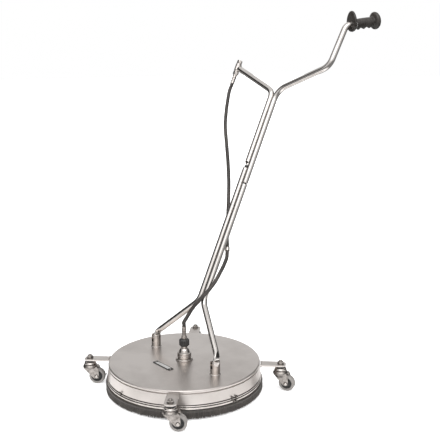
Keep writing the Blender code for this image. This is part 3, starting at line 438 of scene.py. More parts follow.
def moved(shell, origin, upright=(0.0, 0.0, 1.0), across=(1.0, 0.0, 0.0)):
    """A shell put at origin, with its own z along upright and its own x nearest to across."""
    grid, looped = shell if isinstance(shell, tuple) else (shell, False)
    z = unit(np.asarray(upright, float))
    x = np.asarray(across, float)
    x = unit(x - (x @ z) * z)
    grid = grid @ np.stack([x, np.cross(z, x), z]) + np.asarray(origin, float)
    return (grid, True) if looped else grid


DECK_RADIUS = 0.260
SKIRT_FOOT = 0.0335
SEAM = 0.0486
SKIRT_RADIUS = 0.2635

# Dull stainless sheet: cloudy handling marks, hair scratches, and a faint grain.
SHEET, tree, shader = material("dull_stainless_sheet", (0.62, 0.578, 0.548), 0.36, 1.0)
own = node(tree, "TexCoord").outputs["Object"]
patches, scratches = marked(tree, own, 6.0, 60.0)
clean = blend_colour(tree, patches, (0.64, 0.598, 0.568), (0.56, 0.520, 0.492))
light = node(tree, "Mix", {0: tone(tree, scratches, 0.0, 0.5), 6: clean, 7: (0.72, 0.685, 0.660, 1.0)}, data_type="RGBA")
tree.links.new(light.outputs[2], shader.inputs["Base Color"])
worn = node(tree, "Math", {0: tone(tree, patches, 0.31, 0.40), 1: tone(tree, scratches, 0.0, 0.08)}, operation="ADD")
tree.links.new(worn.outputs[0], shader.inputs["Roughness"])
grain = node(tree, "TexNoise", {"Vector": own, "Scale": 900.0, "Detail": 3.0, "Roughness": 0.7})
bump(tree, shader, grain.outputs[0], 0.00004, 0.35)

hub_hole, wall = 0.0125, 0.002
RECESS_TOP, RECESS_FOOT, RECESS_DEPTH = DECK_TOP - 0.0092, DECK_TOP - 0.0128, 0.0045
SKIRT_END, RING_SEAT = 0.0502, 0.2600
pan = [
    (hub_hole, DECK_TOP), (DECK_RADIUS + 0.0006, DECK_TOP), (DECK_RADIUS + 0.0010, RECESS_TOP),
    (DECK_RADIUS - RECESS_DEPTH, RECESS_TOP - 0.0002), (DECK_RADIUS - RECESS_DEPTH, RECESS_FOOT),
    (DECK_RADIUS + 0.0002, RECESS_FOOT - 0.0003), (SKIRT_RADIUS + 0.0006, SKIRT_END),
    (RING_SEAT, SKIRT_END - 0.0005), (RING_SEAT, SKIRT_FOOT + 0.0014), (RING_SEAT - wall, SKIRT_FOOT + 0.0014),
    (RING_SEAT - wall, SKIRT_END), (DECK_RADIUS - RECESS_DEPTH - wall, RECESS_FOOT - 0.0010),
    (DECK_RADIUS - RECESS_DEPTH - wall, DECK_TOP - wall), (hub_hole, DECK_TOP - wall),
]
corner = [0.0003, 0.0085, 0.0008, 0.0004, 0.0004, 0.0010, 0.0014, 0.0005, 0.0004, 0.0004, 0.002, 0.002, 0.002, 0.0003]
piece("deck_pan", SHEET, [moved(spun(pan, corner, 288, 6), DECK)], "deck", "deck_housing")

# ------------------------------------------------------------------ clamp bands and brush skirt
# The brush strip hangs below the skirt, held by a plain steel ring and, under it, an open band
# that one cross bolt draws tight.
BRIGHT, tree, shader = material("turned_stainless", (0.68, 0.64, 0.61), 0.27, 1.0)
own = node(tree, "TexCoord").outputs["Object"]
lengths = node(tree, "UVMap", uv_map="lengths").outputs[0]
patches, scratches = marked(tree, own, 30.0, 160.0)
tree.links.new(blend_colour(tree, patches, (0.66, 0.618, 0.586), (0.46, 0.424, 0.398)), shader.inputs["Base Color"])
worn = node(tree, "Math", {0: tone(tree, patches, 0.15, 0.24), 1: tone(tree, scratches, 0.0, 0.10)}, operation="ADD")
tree.links.new(worn.outputs[0], shader.inputs["Roughness"])
tool_lines = node(tree, "Mapping", {0: lengths, "Scale": (2600.0, 12.0, 1.0)})
fine = node(tree, "TexNoise", {"Vector": tool_lines.outputs[0], "Scale": 1.0, "Detail": 2.0})
bump(tree, shader, fine.outputs[0], 0.00002, 0.3)

ZINC, tree, shader = material("zinc_plate", (0.52, 0.51, 0.49), 0.36, 1.0)
own = node(tree, "TexCoord").outputs["Object"]
patches, scratches = marked(tree, own, 70.0, 220.0)
spangle = node(tree, "TexVoronoi", {"Vector": own, "Scale": 320.0})
cells = node(tree, "SeparateColor", {0: spangle.outputs["Color"]}).outputs[0]
grey = blend_colour(tree, patches, (0.38, 0.350, 0.328), (0.17, 0.152, 0.139))
mottled = node(tree, "Mix", {0: tone(tree, cells, 0.0, 0.28), 6: grey, 7: (0.50, 0.470, 0.444, 1.0)}, data_type="RGBA")
tree.links.new(mottled.outputs[2], shader.inputs["Base Color"])
worn = node(tree, "Math", {0: tone(tree, patches, 0.22, 0.38), 1: tone(tree, scratches, 0.0, 0.12)}, operation="ADD")
tree.links.new(worn.outputs[0], shader.inputs["Roughness"])
bump(tree, shader, patches, 0.00008, 0.3)

band_inner = RING_SEAT + GAP
CARRIER = (0.0436, 0.0474)
STRIP = (0.0346, 0.0414)
carrier = [(band_inner, CARRIER[1]), (0.2652, CARRIER[1]), (0.2652, CARRIER[0]), (band_inner, CARRIER[0])]
piece("brush_carrier_ring", BRIGHT, [moved(spun(carrier, 0.0013, 256), DECK)], "deck", "brush_carrier")
# A dark ring behind the clamp rings fills the gaps between them: painted shade in those recesses.
shade_packing = [(band_inner, 0.0500), (0.2612, 0.0496), (0.2612, 0.0352), (band_inner, 0.0350)]


def band_loop(inner, outer, low, high, half_gap, stations=280):
    """A flat strip's rounded section carried round the axis from one side of its gap to the other."""
    angle = np.linspace(half_gap, 2 * math.pi - half_gap, stations)
    section = rounded([(inner, high), (outer, high), (outer, low), (inner, low)], 0.0016, 4, looped=True)
    radius, height = section.T[:, None, :]
    cos, sin = np.cos(angle)[:, None], np.sin(angle)[:, None]
    return np.stack([radius * cos, radius * sin, height + 0 * cos], -1)


strip = band_loop(0.2615, 0.2664, *STRIP, 0.0085)
piece("clamp_strip", BRIGHT, [moved(strip, DECK)], "deck", "clamp_band")


def hexagon(radius, low, high, chamfer=0.0012, bore=0.0):
    """A hexagonal nut: radius = flat / cos(angle from the nearest flat's middle), cut down by a
    cone at both ends. A bore joins its top to its bottom inside."""
    columns = 72
    angle = 2 * math.pi * np.arange(columns) / columns
    flat = radius * math.cos(math.pi / 6)
    across = flat / np.cos((angle % (math.pi / 3)) - math.pi / 6)
    rows = np.array([0.0, 0.25, 0.5, 0.75, 1.0]) * chamfer
    heights = np.concatenate([low + rows, high - rows[::-1]])
    from_end = np.concatenate([rows, rows[::-1]])[:, None]
    shaped = np.minimum(across[None], radius - (radius - flat) * 1.6 + from_end * 2.0)
    centre = np.full(columns, max(bore, 0.0004))
    wide = np.vstack([centre, shaped, centre]) if not bore else np.vstack([centre, shaped, centre])
    tall = np.concatenate([[low], heights, [high]])[:, None] + 0 * angle
    grid = np.stack([wide * np.cos(angle), wide * np.sin(angle), tall], -1)
    return (grid, True) if bore else grid


def threaded(radius, low, high, pitch=0.001, dome=0.0012):
    """A screw's end: its radius goes in and out once for each turn of the thread, and its tip is rounded."""
    turns = max(2, round((high - low - dome) / pitch))
    z = np.linspace(low, high - dome, turns * 4 + 1)
    saw = np.abs(((z - low) / pitch) % 1.0 - 0.5) * 2.0
    wall = np.stack([radius - 0.00035 * saw, z], -1)
    tip = np.linspace(0.0, math.pi / 2, 6)[1:]
    end = np.stack([0.0003 + (radius - 0.00065) * np.cos(tip), high - dome + dome * np.sin(tip)], -1)
    return turned(np.vstack([[(0.0003, low)], wall, end]), 32)


def plate(outline, low, high, edge=0.0005, steps=3):
    """A flat bar from a closed outline, its edges rounded: each row is the outline drawn in by
    edge times one less the cosine, and raised by edge times the sine."""
    line = np.asarray(outline, float)
    run = unit(np.roll(line, -1, 0) - np.roll(line, 1, 0))
    area = (line[:, 0] * np.roll(line[:, 1], -1) - np.roll(line[:, 0], -1) * line[:, 1]).sum()
    outward = np.stack([run[:, 1], -run[:, 0]], -1) * math.copysign(1.0, area)
    bend = np.linspace(0.0, math.pi / 2, steps + 1)
    inset, rise = edge * (1 - np.sin(bend)), edge * (1 - np.cos(bend))
    drawn = np.concatenate([inset, inset[::-1]])[:, None, None]
    level = np.concatenate([low + rise, high - rise[::-1]])[:, None, None]
    flat = line[None] - outward[None] * drawn
    return np.concatenate([flat, level + 0 * flat[..., :1]], -1)


lug = rounded([(0.0, 0.0), (0.0046, 0.0), (0.0046, 0.0058), (0.0, 0.0058)], [0.0003, 0.002, 0.002, 0.0003], 5, True)
band_outer = 0.2664
lugs = []
for side in (-1, 1):
    shell = plate(lug, -0.001, 0.001, 0.0004) * [1.0, -1.0, 1.0]
    lugs.append(moved(shell, DECK + [band_outer, side * 0.0048, STRIP[0] + 0.0002], (0, 1, 0), (1, 0, 0)))
bolt_line = DECK + np.array([band_outer + 0.0024, 0.0, 0.0376])
cross_bolt = [
    moved(hexagon(0.0024, 0.0059, 0.0078, 0.0003), bolt_line, (0, 1, 0)),
    moved(threaded(0.0013, -0.0080, 0.0090, 0.0005, 0.0004), bolt_line, (0, -1, 0)),
    moved(hexagon(0.0024, -0.0078, -0.0059, 0.0003), bolt_line, (0, 1, 0)),
]
piece("band_cross_bolt", ZINC, lugs + cross_bolt, "deck", "band_clamp")

# Spring hooks hold the two rings together: a narrow strap that rises from the carrier and curls
# over at its top.
# Dark steel for the ring hooks. On the bolt washers the same dark is painted shade round the bolt heads.
DARK_STEEL_AND_SHADE, tree, shader = material("dark_spring_steel_and_painted_shade", (0.12, 0.11, 0.10), 0.35, 1.0)
own = node(tree, "TexCoord").outputs["Object"]
patches, scratches = marked(tree, own, 120.0, 300.0)
tree.links.new(blend_colour(tree, patches, (0.13, 0.12, 0.11), (0.06, 0.052, 0.048)), shader.inputs["Base Color"])
tree.links.new(tone(tree, scratches, 0.30, 0.55), shader.inputs["Roughness"])
HOOK_ANGLES = (-89.0, -2.4, 1.0, 57.0, 120.0, 180.0, 236.0)
curl = np.radians(np.linspace(180.0, -60.0, 14))
climb = np.column_stack([np.full(6, 0.2662), np.linspace(0.0440, 0.0545, 6)])
bend = np.column_stack([0.2662 + 0.0019 * (1 + np.cos(curl)), 0.0550 + 0.0019 * np.sin(curl)])
hook_line = np.vstack([climb, bend])
hook_line = np.column_stack([hook_line[:, 0], np.zeros(len(hook_line)), hook_line[:, 1]])
strap = rounded([(-0.0022, -0.0006), (0.0022, -0.0006), (0.0022, 0.0006), (-0.0022, 0.0006)], 0.0004, 2, looped=True)
hook = swept(hook_line, strap, np.array([0.0, 1.0, 0.0]))
hooks = [moved(hook, DECK, across=(math.cos(a), math.sin(a), 0.0)) for a in np.radians(HOOK_ANGLES)]
piece("ring_hooks", DARK_STEEL_AND_SHADE, hooks, "deck")

# The brush is crimped nylon in a black holder. Each tuft is a tapering bundle, set by hand of a
# machine, so lengths and lean vary a little and the foot is ragged.
# The packing ring behind the clamp rings takes this dark too, as painted shade.
BRISTLE_AND_SHADE, tree, shader = material("nylon_bristle_and_painted_shade", (0.02, 0.02, 0.02), 0.5)
own = node(tree, "TexCoord").outputs["Object"]
strands = node(tree, "Mapping", {0: own, "Scale": (1.0, 1.0, 0.03)})
strand = node(tree, "TexNoise", {"Vector": strands.outputs[0], "Scale": 700.0, "Detail": 2.0})
level = node(tree, "SeparateXYZ", {0: own}).outputs["Z"]
foot_dust = node(tree, "MapRange", {0: level, 1: 0.016, 2: 0.004}).outputs[0]
split = node(tree, "MapRange", {0: strand.outputs[0], 1: 0.40, 2: 0.66}).outputs[0]
dark = node(tree, "Mix", {0: split, 6: (0.018, 0.0150, 0.0132, 1.0), 7: (0.070, 0.060, 0.052, 1.0)}, data_type="RGBA")
dusty = node(tree, "Mix", {0: tone(tree, foot_dust, 0.0, 0.35), 6: dark.outputs[2], 7: (0.10, 0.092, 0.082, 1.0)}, data_type="RGBA")
tree.links.new(dusty.outputs[2], shader.inputs["Base Color"])
tree.links.new(tone(tree, split, 0.38, 0.6), shader.inputs["Roughness"])
bump(tree, shader, strand.outputs[0], 0.0003, 0.5)

# Its upper edge, the packing ring, fills the space between the rings, so only dark shows there: painted shade in those
# recesses.
holder = [(0.2606, 0.0331), (0.2690, 0.0338), (0.2708, 0.0300), (0.2692, 0.0240), (0.2676, 0.0105), (0.2640, 0.0092), (0.2612, 0.0105), (0.2606, 0.0290)]
TUFTS = 1050
random = np.random.default_rng(11)
CLUMPS = 170
CLUMP_LIFT = random.uniform(-0.0003, 0.0014, CLUMPS)


def tufts(radius, foot, count, thick):
    """Tapering bundles round the ring. Down a bundle by t, the point is its root, less its length
    times t, out by its splay times t squared, and sideways by its lean times t."""
    t = np.linspace(0.0, 1.0, 4)
    angle = 2 * math.pi * (np.arange(count) + random.uniform(-0.3, 0.3, count)) / count
    clump = angle * CLUMPS / (2 * math.pi)
    tooth = 0.0024 * np.abs(clump % 1.0 - 0.5) + CLUMP_LIFT[clump.astype(int) % CLUMPS]
    bottom = foot + tooth + random.uniform(-0.0006, 0.0006, count)
    root = 0.0290
    splay = random.uniform(0.0, 0.0014, count)
    lean = random.uniform(-0.0016, 0.0016, count)
    out = np.stack([np.cos(angle), np.sin(angle), 0 * angle], -1)
    side = np.stack([-np.sin(angle), np.cos(angle), 0 * angle], -1)
    line = out[:, None] * (radius + splay[:, None] * t**2)[..., None] + side[:, None] * (lean[:, None] * t)[..., None]
    line[..., 2] += root + (bottom - root)[:, None] * t
    section = ring(thick, 5)[None, :] * (1.0 - 0.45 * t[:, None, None])
    grid = line[:, :, None] + section[None, ..., :1] * out[:, None, None] + section[None, ..., 1:] * side[:, None, None]
    return grid + DECK


brush = [moved(spun(holder, 0.0008, 256), DECK), moved(spun(shade_packing, 0.0002, 256), DECK)]
brush += [tufts(0.2688, 0.0046, TUFTS, 0.00125), tufts(0.2662, 0.0050, TUFTS, 0.0013), tufts(0.2634, 0.0050, TUFTS, 0.00125)]
piece("brush_skirt_and_shade_ring", BRISTLE_AND_SHADE, brush, "deck", "brush_ring")

# ------------------------------------------------------------------ name plate
# A blank aluminium plate in a dark raised frame, fixed by a rivet at each end.
PLATE_DARK, tree, shader = material("dark_anodised_frame", (0.05, 0.048, 0.046), 0.42, 0.7)
own = node(tree, "TexCoord").outputs["Object"]
patches, scratches = marked(tree, own, 60.0, 240.0)
tree.links.new(blend_colour(tree, scratches, (0.05, 0.048, 0.046), (0.22, 0.215, 0.21)), shader.inputs["Base Color"])
tree.links.new(tone(tree, patches, 0.34, 0.52), shader.inputs["Roughness"])
PLATE_FIELD, tree, shader = material("satin_aluminium_field", (0.80, 0.80, 0.79), 0.34, 1.0)
own = node(tree, "TexCoord").outputs["Object"]
drawn = node(tree, "Mapping", {0: own, "Scale": (30.0, 2400.0, 1.0)})
lines = node(tree, "TexNoise", {"Vector": drawn.outputs[0], "Scale": 1.0, "Detail": 2.0})
tree.links.new(blend_colour(tree, lines.outputs[0], (0.70, 0.70, 0.69), (0.90, 0.90, 0.89)), shader.inputs["Base Color"])
tree.links.new(tone(tree, lines.outputs[0], 0.26, 0.44), shader.inputs["Roughness"])
plate_spot = DECK + np.array([0.0, -0.091, DECK_TOP + GAP])


def tablet(length, width, corner):
    x, y = length / 2, width / 2
    return rounded([(-x, -y), (x, -y), (x, y), (-x, y)], corner, 5, looped=True)


piece("name_plate_frame", PLATE_DARK, [moved(plate(tablet(0.095, 0.020, 0.0025), 0, 0.0012), plate_spot)], "deck", "name_plate")
field = moved(plate(tablet(0.070, 0.0135, 0.001), 0.0010, 0.0015, 0.0002), plate_spot)
piece("name_plate_field", PLATE_FIELD, [field], "deck")
rivet = [(0.0004, 0.0026), (0.0014, 0.0022), (0.0023, 0.0010), (0.0023, 0.0009), (0.0004, 0.0009)]
rivets = [moved(solid_turned(rivet, 0.0004, 24, 3), plate_spot + [x, 0, 0]) for x in (-0.0415, 0.0415)]
piece("name_plate_rivets", BRIGHT, rivets, "deck")

# ------------------------------------------------------------------ castor arms and king bolts
# Each castor hangs from a flat steel tongue, welded to the skirt by its hollowed inner edge. A
# plated king bolt comes up through it to a washer and a nut.
ARM_LOW, ARM_TOP = (corner.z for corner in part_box("castor_arm_1"))
ARM_HALF, ARM_TIP, ARM_CUT = 0.0195, 0.350, 0.009
inner_edge = SKIRT_RADIUS + GAP
reach = math.asin(ARM_HALF / inner_edge)
sweep = np.linspace(reach, -reach, 13)
hollow = inner_edge * np.stack([np.cos(sweep), np.sin(sweep)], -1)
nose = [
    hollow[-1], (ARM_TIP - ARM_CUT, -ARM_HALF), (ARM_TIP, ARM_CUT - ARM_HALF), (ARM_TIP, ARM_HALF - ARM_CUT),
    (ARM_TIP - ARM_CUT, ARM_HALF), hollow[0],
]
arm_outline = np.vstack([hollow[1:-1], rounded(nose, 0.006, 5)])
bead_line = np.stack([(inner_edge + 0.0011) * np.cos(sweep), (inner_edge + 0.0011) * np.sin(sweep)], -1)
bead_line = smooth_route(np.column_stack([bead_line * [1.0, 0.98], np.full(13, ARM_TOP + 0.0003)]), 12)
ripple = 1.0 + 0.10 * np.sin(np.arange(len(bead_line)) * 1.3)
ripple[[0, -1]] = 0.3
weld_bead = swept(bead_line, ring((0.0020 * ripple)[:, None], 12), np.array([0.0, 0.0, 1.0]))
for i in range(4):
    way = math.radians(45.0 + 90.0 * i)
    out = np.array([math.cos(way), math.sin(way), 0.0])
    shells = [moved(plate(arm_outline, ARM_LOW, ARM_TOP, 0.0008), DECK, across=out)]
    shells += [moved(weld_bead, DECK, across=out)]
    piece(f"castor_arm_plate_{i + 1}", SHEET, shells, "deck", f"castor_arm_{i + 1}")
    king = np.array(JOINTS[f"castor_swivel_{i + 1}"]["pos_m"]) * [1.0, 1.0, 0.0]
    under = [(0.0004, 0.0592), (0.0050, 0.0592), (0.0062, 0.0572), (0.0050, 0.0556), (0.0004, 0.0552)]
    shells = [
        moved(solid_turned([(0.0004, 0.0941), (0.0120, 0.0941), (0.0120, 0.0923), (0.0004, 0.0923)], 0.0003, 48), king),
        moved(hexagon(0.0105, 0.0943, 0.1008, 0.0012), king, across=out),
        moved(threaded(0.0060, 0.0925, 0.1058), king),
        moved(solid_turned(under, 0.0010, 40), king),
    ]
    piece(f"king_bolt_{i + 1}", ZINC, shells, "deck", f"castor_bolt_{i + 1}")

# ------------------------------------------------------------------ castor bearings
# Under the arm sits a black moulded collar over a pressed steel cup that holds two rings of
# balls. The cup is domed like a lens.
BLACK, tree, shader = material("black_moulding", (0.022, 0.021, 0.021), 0.4)
own = node(tree, "TexCoord").outputs["Object"]
patches, scratches = marked(tree, own, 34.0, 180.0)
tree.links.new(blend_colour(tree, patches, (0.016, 0.016, 0.016), (0.042, 0.040, 0.039)), shader.inputs["Base Color"])
tree.links.new(tone(tree, patches, 0.30, 0.50), shader.inputs["Roughness"])
moulded = node(tree, "TexNoise", {"Vector": own, "Scale": 1500.0, "Detail": 2.0})
bump(tree, shader, moulded.outputs[0], 0.00006, 0.4)

collar = [
    (0.0050, 0.0866), (0.0170, 0.0866), (0.0176, 0.0850), (0.0170, 0.0838), (0.0174, 0.0826), (0.0168, 0.0812),
    (0.0050, 0.0812),
]
cup = [
    (0.0050, 0.0809), (0.0150, 0.0809), (0.0190, 0.0785), (0.0210, 0.0745), (0.0209, 0.0728), (0.0198, 0.0716),
    (0.0172, 0.0712), (0.0050, 0.0712),
]
for i in range(4):
    king = np.array(JOINTS[f"castor_swivel_{i + 1}"]["pos_m"]) * [1.0, 1.0, 0.0]
    shells = [moved(solid_turned(cup, 0.0008, 72), king)]
    piece(f"bearing_cup_{i + 1}", BRIGHT, shells, "deck", f"castor_race_{i + 1}")
    piece(f"bearing_collar_{i + 1}", BLACK, [moved(solid_turned(collar, 0.0004, 72), king)], "deck")

# ------------------------------------------------------------------ castor forks
# The fork is pressed from plated sheet: a round crown that runs on the balls, two tapering legs
# that lean forward to the axle, and a small lug at the front.
crown = [
    (0.0065, 0.0704), (0.0150, 0.0704), (0.0200, 0.0704), (0.0222, 0.0694), (0.0248, 0.0648), (0.0262, 0.0610),
    (0.0262, 0.0598), (0.0248, 0.0595), (0.0236, 0.0600), (0.0226, 0.0640), (0.0205, 0.0680), (0.0065, 0.0682),
]
leg_corners = [(0.0252, 0.0632), (-0.0186, 0.0632), (-0.0212, 0.0582), (0.0153, 0.0203), (0.0327, 0.0203), (0.0312, 0.0560)]
leg_outline = rounded(leg_corners, [0.003, 0.003, 0.005, 0.0085, 0.0085, 0.004], 7, looped=True)
rib_outline = rounded([(0.016, 0.054), (-0.006, 0.054), (0.0190, 0.0350), (0.0262, 0.0370)], 0.0025, 4, looped=True)
washer = [(0.0004, 0.0163), (0.0076, 0.0163), (0.0076, 0.0156), (0.0004, 0.0156)]
lug_outline = rounded([(0.0200, -0.0080), (0.0325, -0.0066), (0.0325, 0.0066), (0.0200, 0.0080)], 0.0022, 5, looped=True)
for i in range(4):
    king = np.array(JOINTS[f"castor_swivel_{i + 1}"]["pos_m"]) * [1.0, 1.0, 0.0]
    side = np.array(JOINTS[f"wheel_roll_{i + 1}"]["axis"])
    front = np.cross(side, [0.0, 0.0, 1.0])
    shells = [moved(spun(crown, 0.0009, 88), king), moved(plate(lug_outline, 0.0602, 0.0632, 0.0007), king, across=front)]
    for out in (-1, 1):
        leg = plate(leg_outline, 0.0130, 0.0155, 0.0006)
        rib = plate(rib_outline, 0.0150, 0.0160, 0.0005)
        if out < 0:
            leg, rib = (shell * [1.0, 1.0, -1.0] for shell in (leg, rib))
        shells += [moved(shell * [1.0, 1.0, -1.0], king, -side, front) for shell in (leg, rib)]
    piece(f"castor_fork_body_{i + 1}", ZINC, shells, f"castor_{i + 1}", f"castor_fork_{i + 1}")
    axle = np.array(JOINTS[f"wheel_roll_{i + 1}"]["pos_m"])
    shells = [
        moved(hexagon(0.0058, 0.0162, 0.0198, 0.0007), axle, side),
        moved(solid_turned([(0.0004, 0.0196), (0.0030, 0.0192), (0.0056, 0.0176), (0.0056, 0.0163), (0.0004, 0.0163)], 0.0008, 32), axle, -side),
        moved(threaded(0.0030, -0.0175, 0.0212), axle, side),
    ]
    piece(f"axle_bolt_{i + 1}", BRIGHT, shells, f"castor_{i + 1}", f"castor_axle_{i + 1}")
    # The axle washers are dark to paint shade round the bolt heads.
    shells = [moved(solid_turned(washer, 0.0002, 32, 2), axle, way) for way in (side, -side)]
    piece(f"axle_shade_washers_{i + 1}", DARK_STEEL_AND_SHADE, shells, f"castor_{i + 1}")

# ------------------------------------------------------------------ castor wheels
# A solid grey rubber tyre, with the mould's parting line round its tread, on a black hub with
# a dished web.
TYRE, tree, shader = material("grey_rubber_tyre", (0.26, 0.245, 0.235), 0.62)
own = node(tree, "TexCoord").outputs["Object"]
patches, scratches = marked(tree, own, 40.0, 160.0)
tree.links.new(blend_colour(tree, patches, (0.285, 0.268, 0.255), (0.19, 0.178, 0.168)), shader.inputs["Base Color"])
tree.links.new(tone(tree, patches, 0.52, 0.74), shader.inputs["Roughness"])
scuff = node(tree, "TexNoise", {"Vector": own, "Scale": 520.0, "Detail": 4.0})
bump(tree, shader, scuff.outputs[0], 0.00015, 0.4)

tyre = [
    (0.0192, 0.0100), (0.0212, 0.0112), (0.0236, 0.0109), (0.0262, 0.0098), (0.0277, 0.0072), (0.0278, 0.0006),
    (0.0280, 0.0), (0.0278, -0.0006), (0.0277, -0.0072), (0.0262, -0.0098), (0.0236, -0.0109), (0.0212, -0.0112),
    (0.0192, -0.0100),
]
hub = [
    (0.0004, 0.0118), (0.0068, 0.0118), (0.0082, 0.0080), (0.0142, 0.0068), (0.0168, 0.0098), (0.0190, 0.0102),
    (0.0190, -0.0102), (0.0168, -0.0098), (0.0142, -0.0068), (0.0082, -0.0080), (0.0068, -0.0118), (0.0004, -0.0118),
]
web_rib = rounded([(0.0070, -0.0007), (0.0170, -0.0007), (0.0170, 0.0007), (0.0070, 0.0007)], 0.0004, 2, looped=True)
for i in range(4):
    axle = np.array(JOINTS[f"wheel_roll_{i + 1}"]["pos_m"])
    side = np.array(JOINTS[f"wheel_roll_{i + 1}"]["axis"])
    body = f"wheel_{i + 1}"
    piece(f"tyre_{i + 1}", TYRE, [moved(spun(tyre, 0.0012, 96), axle, side)], body, f"castor_tyre_{i + 1}")
    shells = [moved(solid_turned(hub, 0.0008, 64), axle, side)]
    for spoke in range(6):
        a = math.radians(60.0 * spoke)
        front = np.cross(side, [0.0, 0.0, 1.0]) * math.cos(a) + np.array([0.0, 0.0, math.sin(a)])
        shells.append(moved(plate(web_rib, -0.0094, 0.0094, 0.0003, 2), axle, side, front))
    piece(f"wheel_hub_{i + 1}", BLACK, shells, body, f"castor_hub_{i + 1}")

# ------------------------------------------------------------------ rotary union
# A turned flange holds the union on the deck. The fed body above it ends in a bright dome, a
# black coupling nut, and the hose's crimped ferrule.
flange = [
    (0.0004, 0.1042), (0.0278, 0.1042), (0.0284, 0.1024), (0.0278, 0.1018), (0.0284, 0.1012), (0.0300, 0.1008),
    (0.0300, 0.0983), (0.0004, 0.0983),
]
body = [
    (0.0004, 0.1460), (0.0104, 0.1460), (0.0104, 0.1398), (0.0128, 0.1384), (0.0162, 0.1340), (0.0188, 0.1272),
    (0.0196, 0.1240), (0.0232, 0.1234), (0.0240, 0.1224), (0.0240, 0.1166), (0.0231, 0.1160), (0.0231, 0.1152),
    (0.0240, 0.1146), (0.0240, 0.1074), (0.0228, 0.1064), (0.0228, 0.1044), (0.0004, 0.1044),
]
shells = [moved(solid_turned(flange, 0.0005, 128), DECK)]
piece("union_flange", BRIGHT, shells, "deck", "swivel_flange")
shells = [moved(solid_turned(body, 0.0008, 128), DECK)]
for k in range(4):
    a = math.radians(25.0 + 90.0 * k)
    out = np.array([math.cos(a), math.sin(a), 0.0])
    shells.append(moved(solid_turned([(0.0004, 0.0006), (0.0016, 0.0006), (0.0028, 0.0), (0.0028, -0.001), (0.0004, -0.001)], 0.0003, 24, 2), DECK + out * 0.0240 + [0.0, 0.0, 0.1110], out))
piece("union_body", BRIGHT, shells, "deck", "swivel_body")
bearing_low, bearing_high = (corner.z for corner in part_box("swivel_bearing"))


def fluted_nut(radius, low, high, chamfer, flutes=12, depth=0.0013, columns=144):
    """A grip nut: its radius drops by depth in a cosine furrow for each flute, less so over
    the chamfered ends."""
    profile = rounded(
        [(0.0006, low), (radius - chamfer, low), (radius, low + chamfer), (radius, high - chamfer),
         (radius - chamfer, high), (0.0006, high)], 0.0005, 4,
    )
    angle = 2 * math.pi * np.arange(columns) / columns
    share = np.clip((profile[:, :1] - (radius - chamfer)) / chamfer, 0.0, 1.0)
    furrow = np.maximum(0.0, np.cos(flutes * angle)) ** 2
    wide = profile[:, :1] - depth * furrow * share
    return np.stack([wide * np.cos(angle), wide * np.sin(angle), profile[:, 1:] + 0 * angle], -1)


nut = fluted_nut(0.0175, 0.1463, 0.1730, 0.0046)
piece("coupling_nut_body", BLACK, [moved(nut, DECK)], "deck", "coupling_nut")
piece("union_seat_ring", BRIGHT, [moved(spun([(0.0102, bearing_high), (0.0168, bearing_high), (0.0168, bearing_low), (0.0102, bearing_low)], 0.0008, 64), DECK)], "deck", "swivel_bearing")


def crimped(foot, nose, radius, bands=4, dent=0.0006, columns=64):
    """A pressed ferrule from foot to nose: bands of eight dents, each a squared cosine deep."""
    z = np.linspace(0.0, 1.0, 61)
    angle = 2 * math.pi * np.arange(columns) / columns
    along = np.sin(math.pi * bands * np.clip((z - 0.12) / 0.76, 0.0, 1.0)) ** 2
    around = 0.55 + 0.45 * np.cos(4 * angle) ** 2
    ends = np.minimum(1.0, np.sqrt(np.clip(1 - (np.abs(2 * z - 1) / 1.0) ** 40, 0.0, 1.0)) + 0.86)
    wide = (radius * ends)[:, None] - dent * along[:, None] * around
    grid = np.stack([wide * np.cos(angle), wide * np.sin(angle), (foot + (nose - foot) * z)[:, None] + 0 * angle], -1)
    return grid


ferrule_low, ferrule_high = (corner.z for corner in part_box("hose_ferrule_lower"))
step_ring = [(0.0006, 0.1830), (0.0086, 0.1830), (0.0092, 0.1822), (0.0092, ferrule_low), (0.0006, ferrule_low)]
shells = [moved(crimped(0.1826, ferrule_high, 0.0078), DECK), moved(solid_turned(step_ring, 0.0004, 64), DECK)]
piece("lower_ferrule", ZINC, shells, "deck", "hose_ferrule_lower")

# ------------------------------------------------------------------ handle sockets and pivot bolts
# Each leg stands in a turned post welded to the deck. The post is slotted across its top, and a
# plated bolt through both cheeks carries the leg.
SOCKET_RADIUS, SLOT_HALF, SLOT_FOOT = 0.0165, 0.0053, 0.118
socket_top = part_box("handle_socket_left")[1].z
PIVOT = HINGE[2]
post = [(0.0004, SLOT_FOOT), (SOCKET_RADIUS, SLOT_FOOT), (SOCKET_RADIUS, DECK_TOP + GAP), (0.0004, DECK_TOP + GAP)]
half_turn = math.acos((SLOT_HALF + 0.0001) / SOCKET_RADIUS)
cheek_arc = np.linspace(-half_turn, half_turn, 28)
cheek_outline = SOCKET_RADIUS * np.stack([np.cos(cheek_arc), np.sin(cheek_arc)], -1)
foot_weld = [(0.0160, 0.1004), (0.0172, 0.1000), (0.0186, 0.0988), (0.0190, 0.0982), (0.0160, 0.0982)]
post_x = [(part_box(f"handle_socket_{side}")[0].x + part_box(f"handle_socket_{side}")[1].x) / 2 for side in ("left", "right")]
SPREAD = (post_x[1] - post_x[0]) / 2
